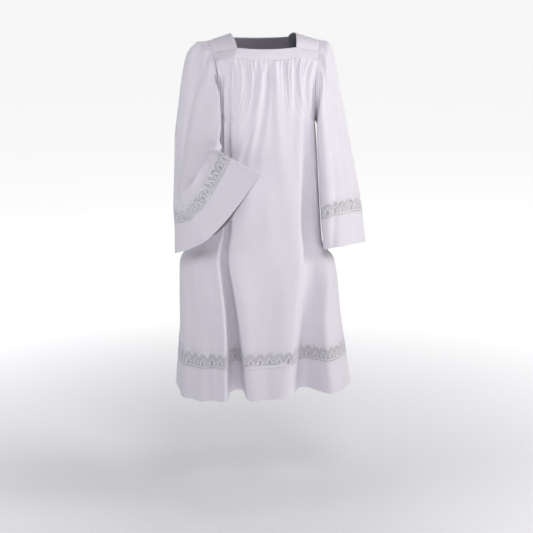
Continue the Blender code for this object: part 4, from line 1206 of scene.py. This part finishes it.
def neck_loop():
    """The neck opening's edge, once round, and the directions up and out of the cloth there."""
    front = np.array([neck_edge(s, False) for s in np.linspace(0, 1, 60, endpoint=False)])
    left = np.array([neck_side(s) for s in np.linspace(0, 1, 60, endpoint=False)])
    back = np.array([neck_edge(s, True) for s in np.linspace(1, 0, 60, endpoint=False)])
    right = np.array([neck_side(s) * (-1, 1, 1) for s in np.linspace(1, 0, 60, endpoint=False)])
    ups = np.repeat([(0, -0.85, 0.53), (0.30, 0, 0.95), (0, 0.85, 0.53), (-0.30, 0, 0.95)], 60, 0)
    blend = np.array([np.roll(ups, k, axis=0) for k in range(-6, 7)]).mean(0)
    return np.concatenate([front, left, back, right]), unit(blend)


def build_neck(paints):
    path, ups = neck_loop()
    points, faces = tube(path, ups, ROLL_WIDTH, ROLL_DEPTH, 10, closed=True)
    length = np.repeat(lengths(path), 10)
    uv = np.stack([length, np.tile(np.arange(10) * 0.0006, len(path))], -1)
    return new_piece("neck_rolled_edge", points, faces, uv, paints["linen"])


# ---------------------------------------------------------------- camera, light and floor
FLOOR_Z = -1.45
FLOOR_REACH = 60.0
# The floor glows: painted light, dim within 1.5 m of the middle, under the garment, and white from
# 3 m out, where it is seen behind the garment.
FLOOR_PAINTED_GLOW = 0.9
GLOW_NEAR, GLOW_FAR = (0.20, 0.20, 0.21, 1.0), (1.0, 1.0, 1.0, 1.0)
CAMERA_PLACE = (-0.52404, -4.26795, 0.31)
CAMERA_TILT = 13.2667
CAMERA_TURN = -7.1405
CAMERA_FOCAL = 97.99


def aim(thing, target):
    away = np.array(thing.location) - np.array(target)
    flat = np.hypot(away[0], away[1])
    thing.rotation_euler = (np.arctan2(flat, away[2]), 0.0, np.arctan2(away[0], -away[1]))


def add_camera():
    lens = bpy.data.cameras.new("camera")
    lens.sensor_width = 36.0
    lens.lens = CAMERA_FOCAL
    camera = put_in("camera", lens)
    camera.location = CAMERA_PLACE
    camera.rotation_euler = (np.radians(90 - CAMERA_TILT), 0.0, np.radians(CAMERA_TURN))
    bpy.context.scene.camera = camera


LIGHTS = {
    "front": ((0.2, -2.8, 1.6), 1.2, 34.0, (0.97, 0.93, 1.0)),
    "right": ((3.3, -1.2, 0.9), 1.3, 54.0, (1.0, 0.97, 0.95)),
    "left": ((-3.2, -0.8, 0.6), 1.6, 19.0, (0.90, 0.90, 1.0)),
    "top": ((0.2, 0.0, 2.4), 1.4, 15.0, (1.0, 1.0, 1.0)),
    "behind": ((-1.0, 3.2, 1.3), 1.8, 20.0, (0.97, 0.96, 1.0)),
}

LIGHTS_AIM = (0.0, 0.0, -0.5)

# The sky lights the garment a little, and shows as pale as the floor behind it.
SKY = (0.93, 0.92, 0.95, 1.0)
SKY_LIGHT = 0.03
SKY_SEEN = 1.0


def add_light():
    for name, (place, size, power, colour) in LIGHTS.items():
        lamp = bpy.data.lights.new(name, "AREA")
        lamp.size, lamp.energy, lamp.color = size, power, colour
        light = put_in(name, lamp)
        light.location = place
        aim(light, LIGHTS_AIM)
    world = bpy.data.worlds.new("studio")
    world.use_nodes = True
    sky = world.node_tree.nodes["Background"]
    sky.inputs["Color"].default_value = SKY
    path = world.node_tree.nodes.new("ShaderNodeLightPath")
    strength = world.node_tree.nodes.new("ShaderNodeMapRange")
    strength.inputs["To Min"].default_value = SKY_LIGHT
    strength.inputs["To Max"].default_value = SKY_SEEN
    world.node_tree.links.new(path.outputs["Is Camera Ray"], strength.inputs["Value"])
    world.node_tree.links.new(strength.outputs["Result"], sky.inputs["Strength"])
    bpy.context.scene.world = world


def add_floor():
    mesh = bpy.data.meshes.new("floor")
    turns = ((-1, -1), (1, -1), (1, 1), (-1, 1))
    corners = [(x * FLOOR_REACH, y * FLOOR_REACH, FLOOR_Z) for x, y in turns]
    mesh.from_pydata(corners, [], [(0, 1, 2, 3)])
    paint, _, shader = material("floor_with_painted_glow", (0.90, 0.90, 0.91, 1.0), 0.9, 0.0)
    nodes = paint.node_tree.nodes
    place = Socket(paint.node_tree, nodes.new("ShaderNodeTexCoord").outputs["Object"])
    away = place.node("ShaderNodeVectorMath", {"operation": "LENGTH"}, outputs=1, i0=place)
    # Painted light: an emission that rises from dim to white with the distance from the middle.
    away.between(1.5, 3.0).mix(GLOW_NEAR, GLOW_FAR).into(shader, "Emission Color")
    shader.inputs["Emission Strength"].default_value = FLOOR_PAINTED_GLOW
    mesh.materials.append(paint)
    floor = put_in("floor", mesh)


# ---------------------------------------------------------------- the scene
for old in list(bpy.data.objects):
    bpy.data.objects.remove(old, do_unlink=True)
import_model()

add_camera()
add_light()
add_floor()
bpy.context.scene.view_settings.view_transform = "Standard"

paints = {
    "linen": linen("white_linen", LINEN, LINEN_SHADE),
    # Painted shade: the inner faces darker than the white cloth.
    "inside": linen("linen_inside_painted_shade", INSIDE_PAINTED_SHADE, INSIDE_PAINTED_SHADE),
    "thread": thread("lace_cotton", THREAD),
}
seams = []
build_yokes(seams, paints)
build_straps(seams, paints)
build_body(seams, paints)
build_sleeves(seams, paints)
build_neck(paints)
stitch_piece("seam_stitches", seams, paints["thread"])
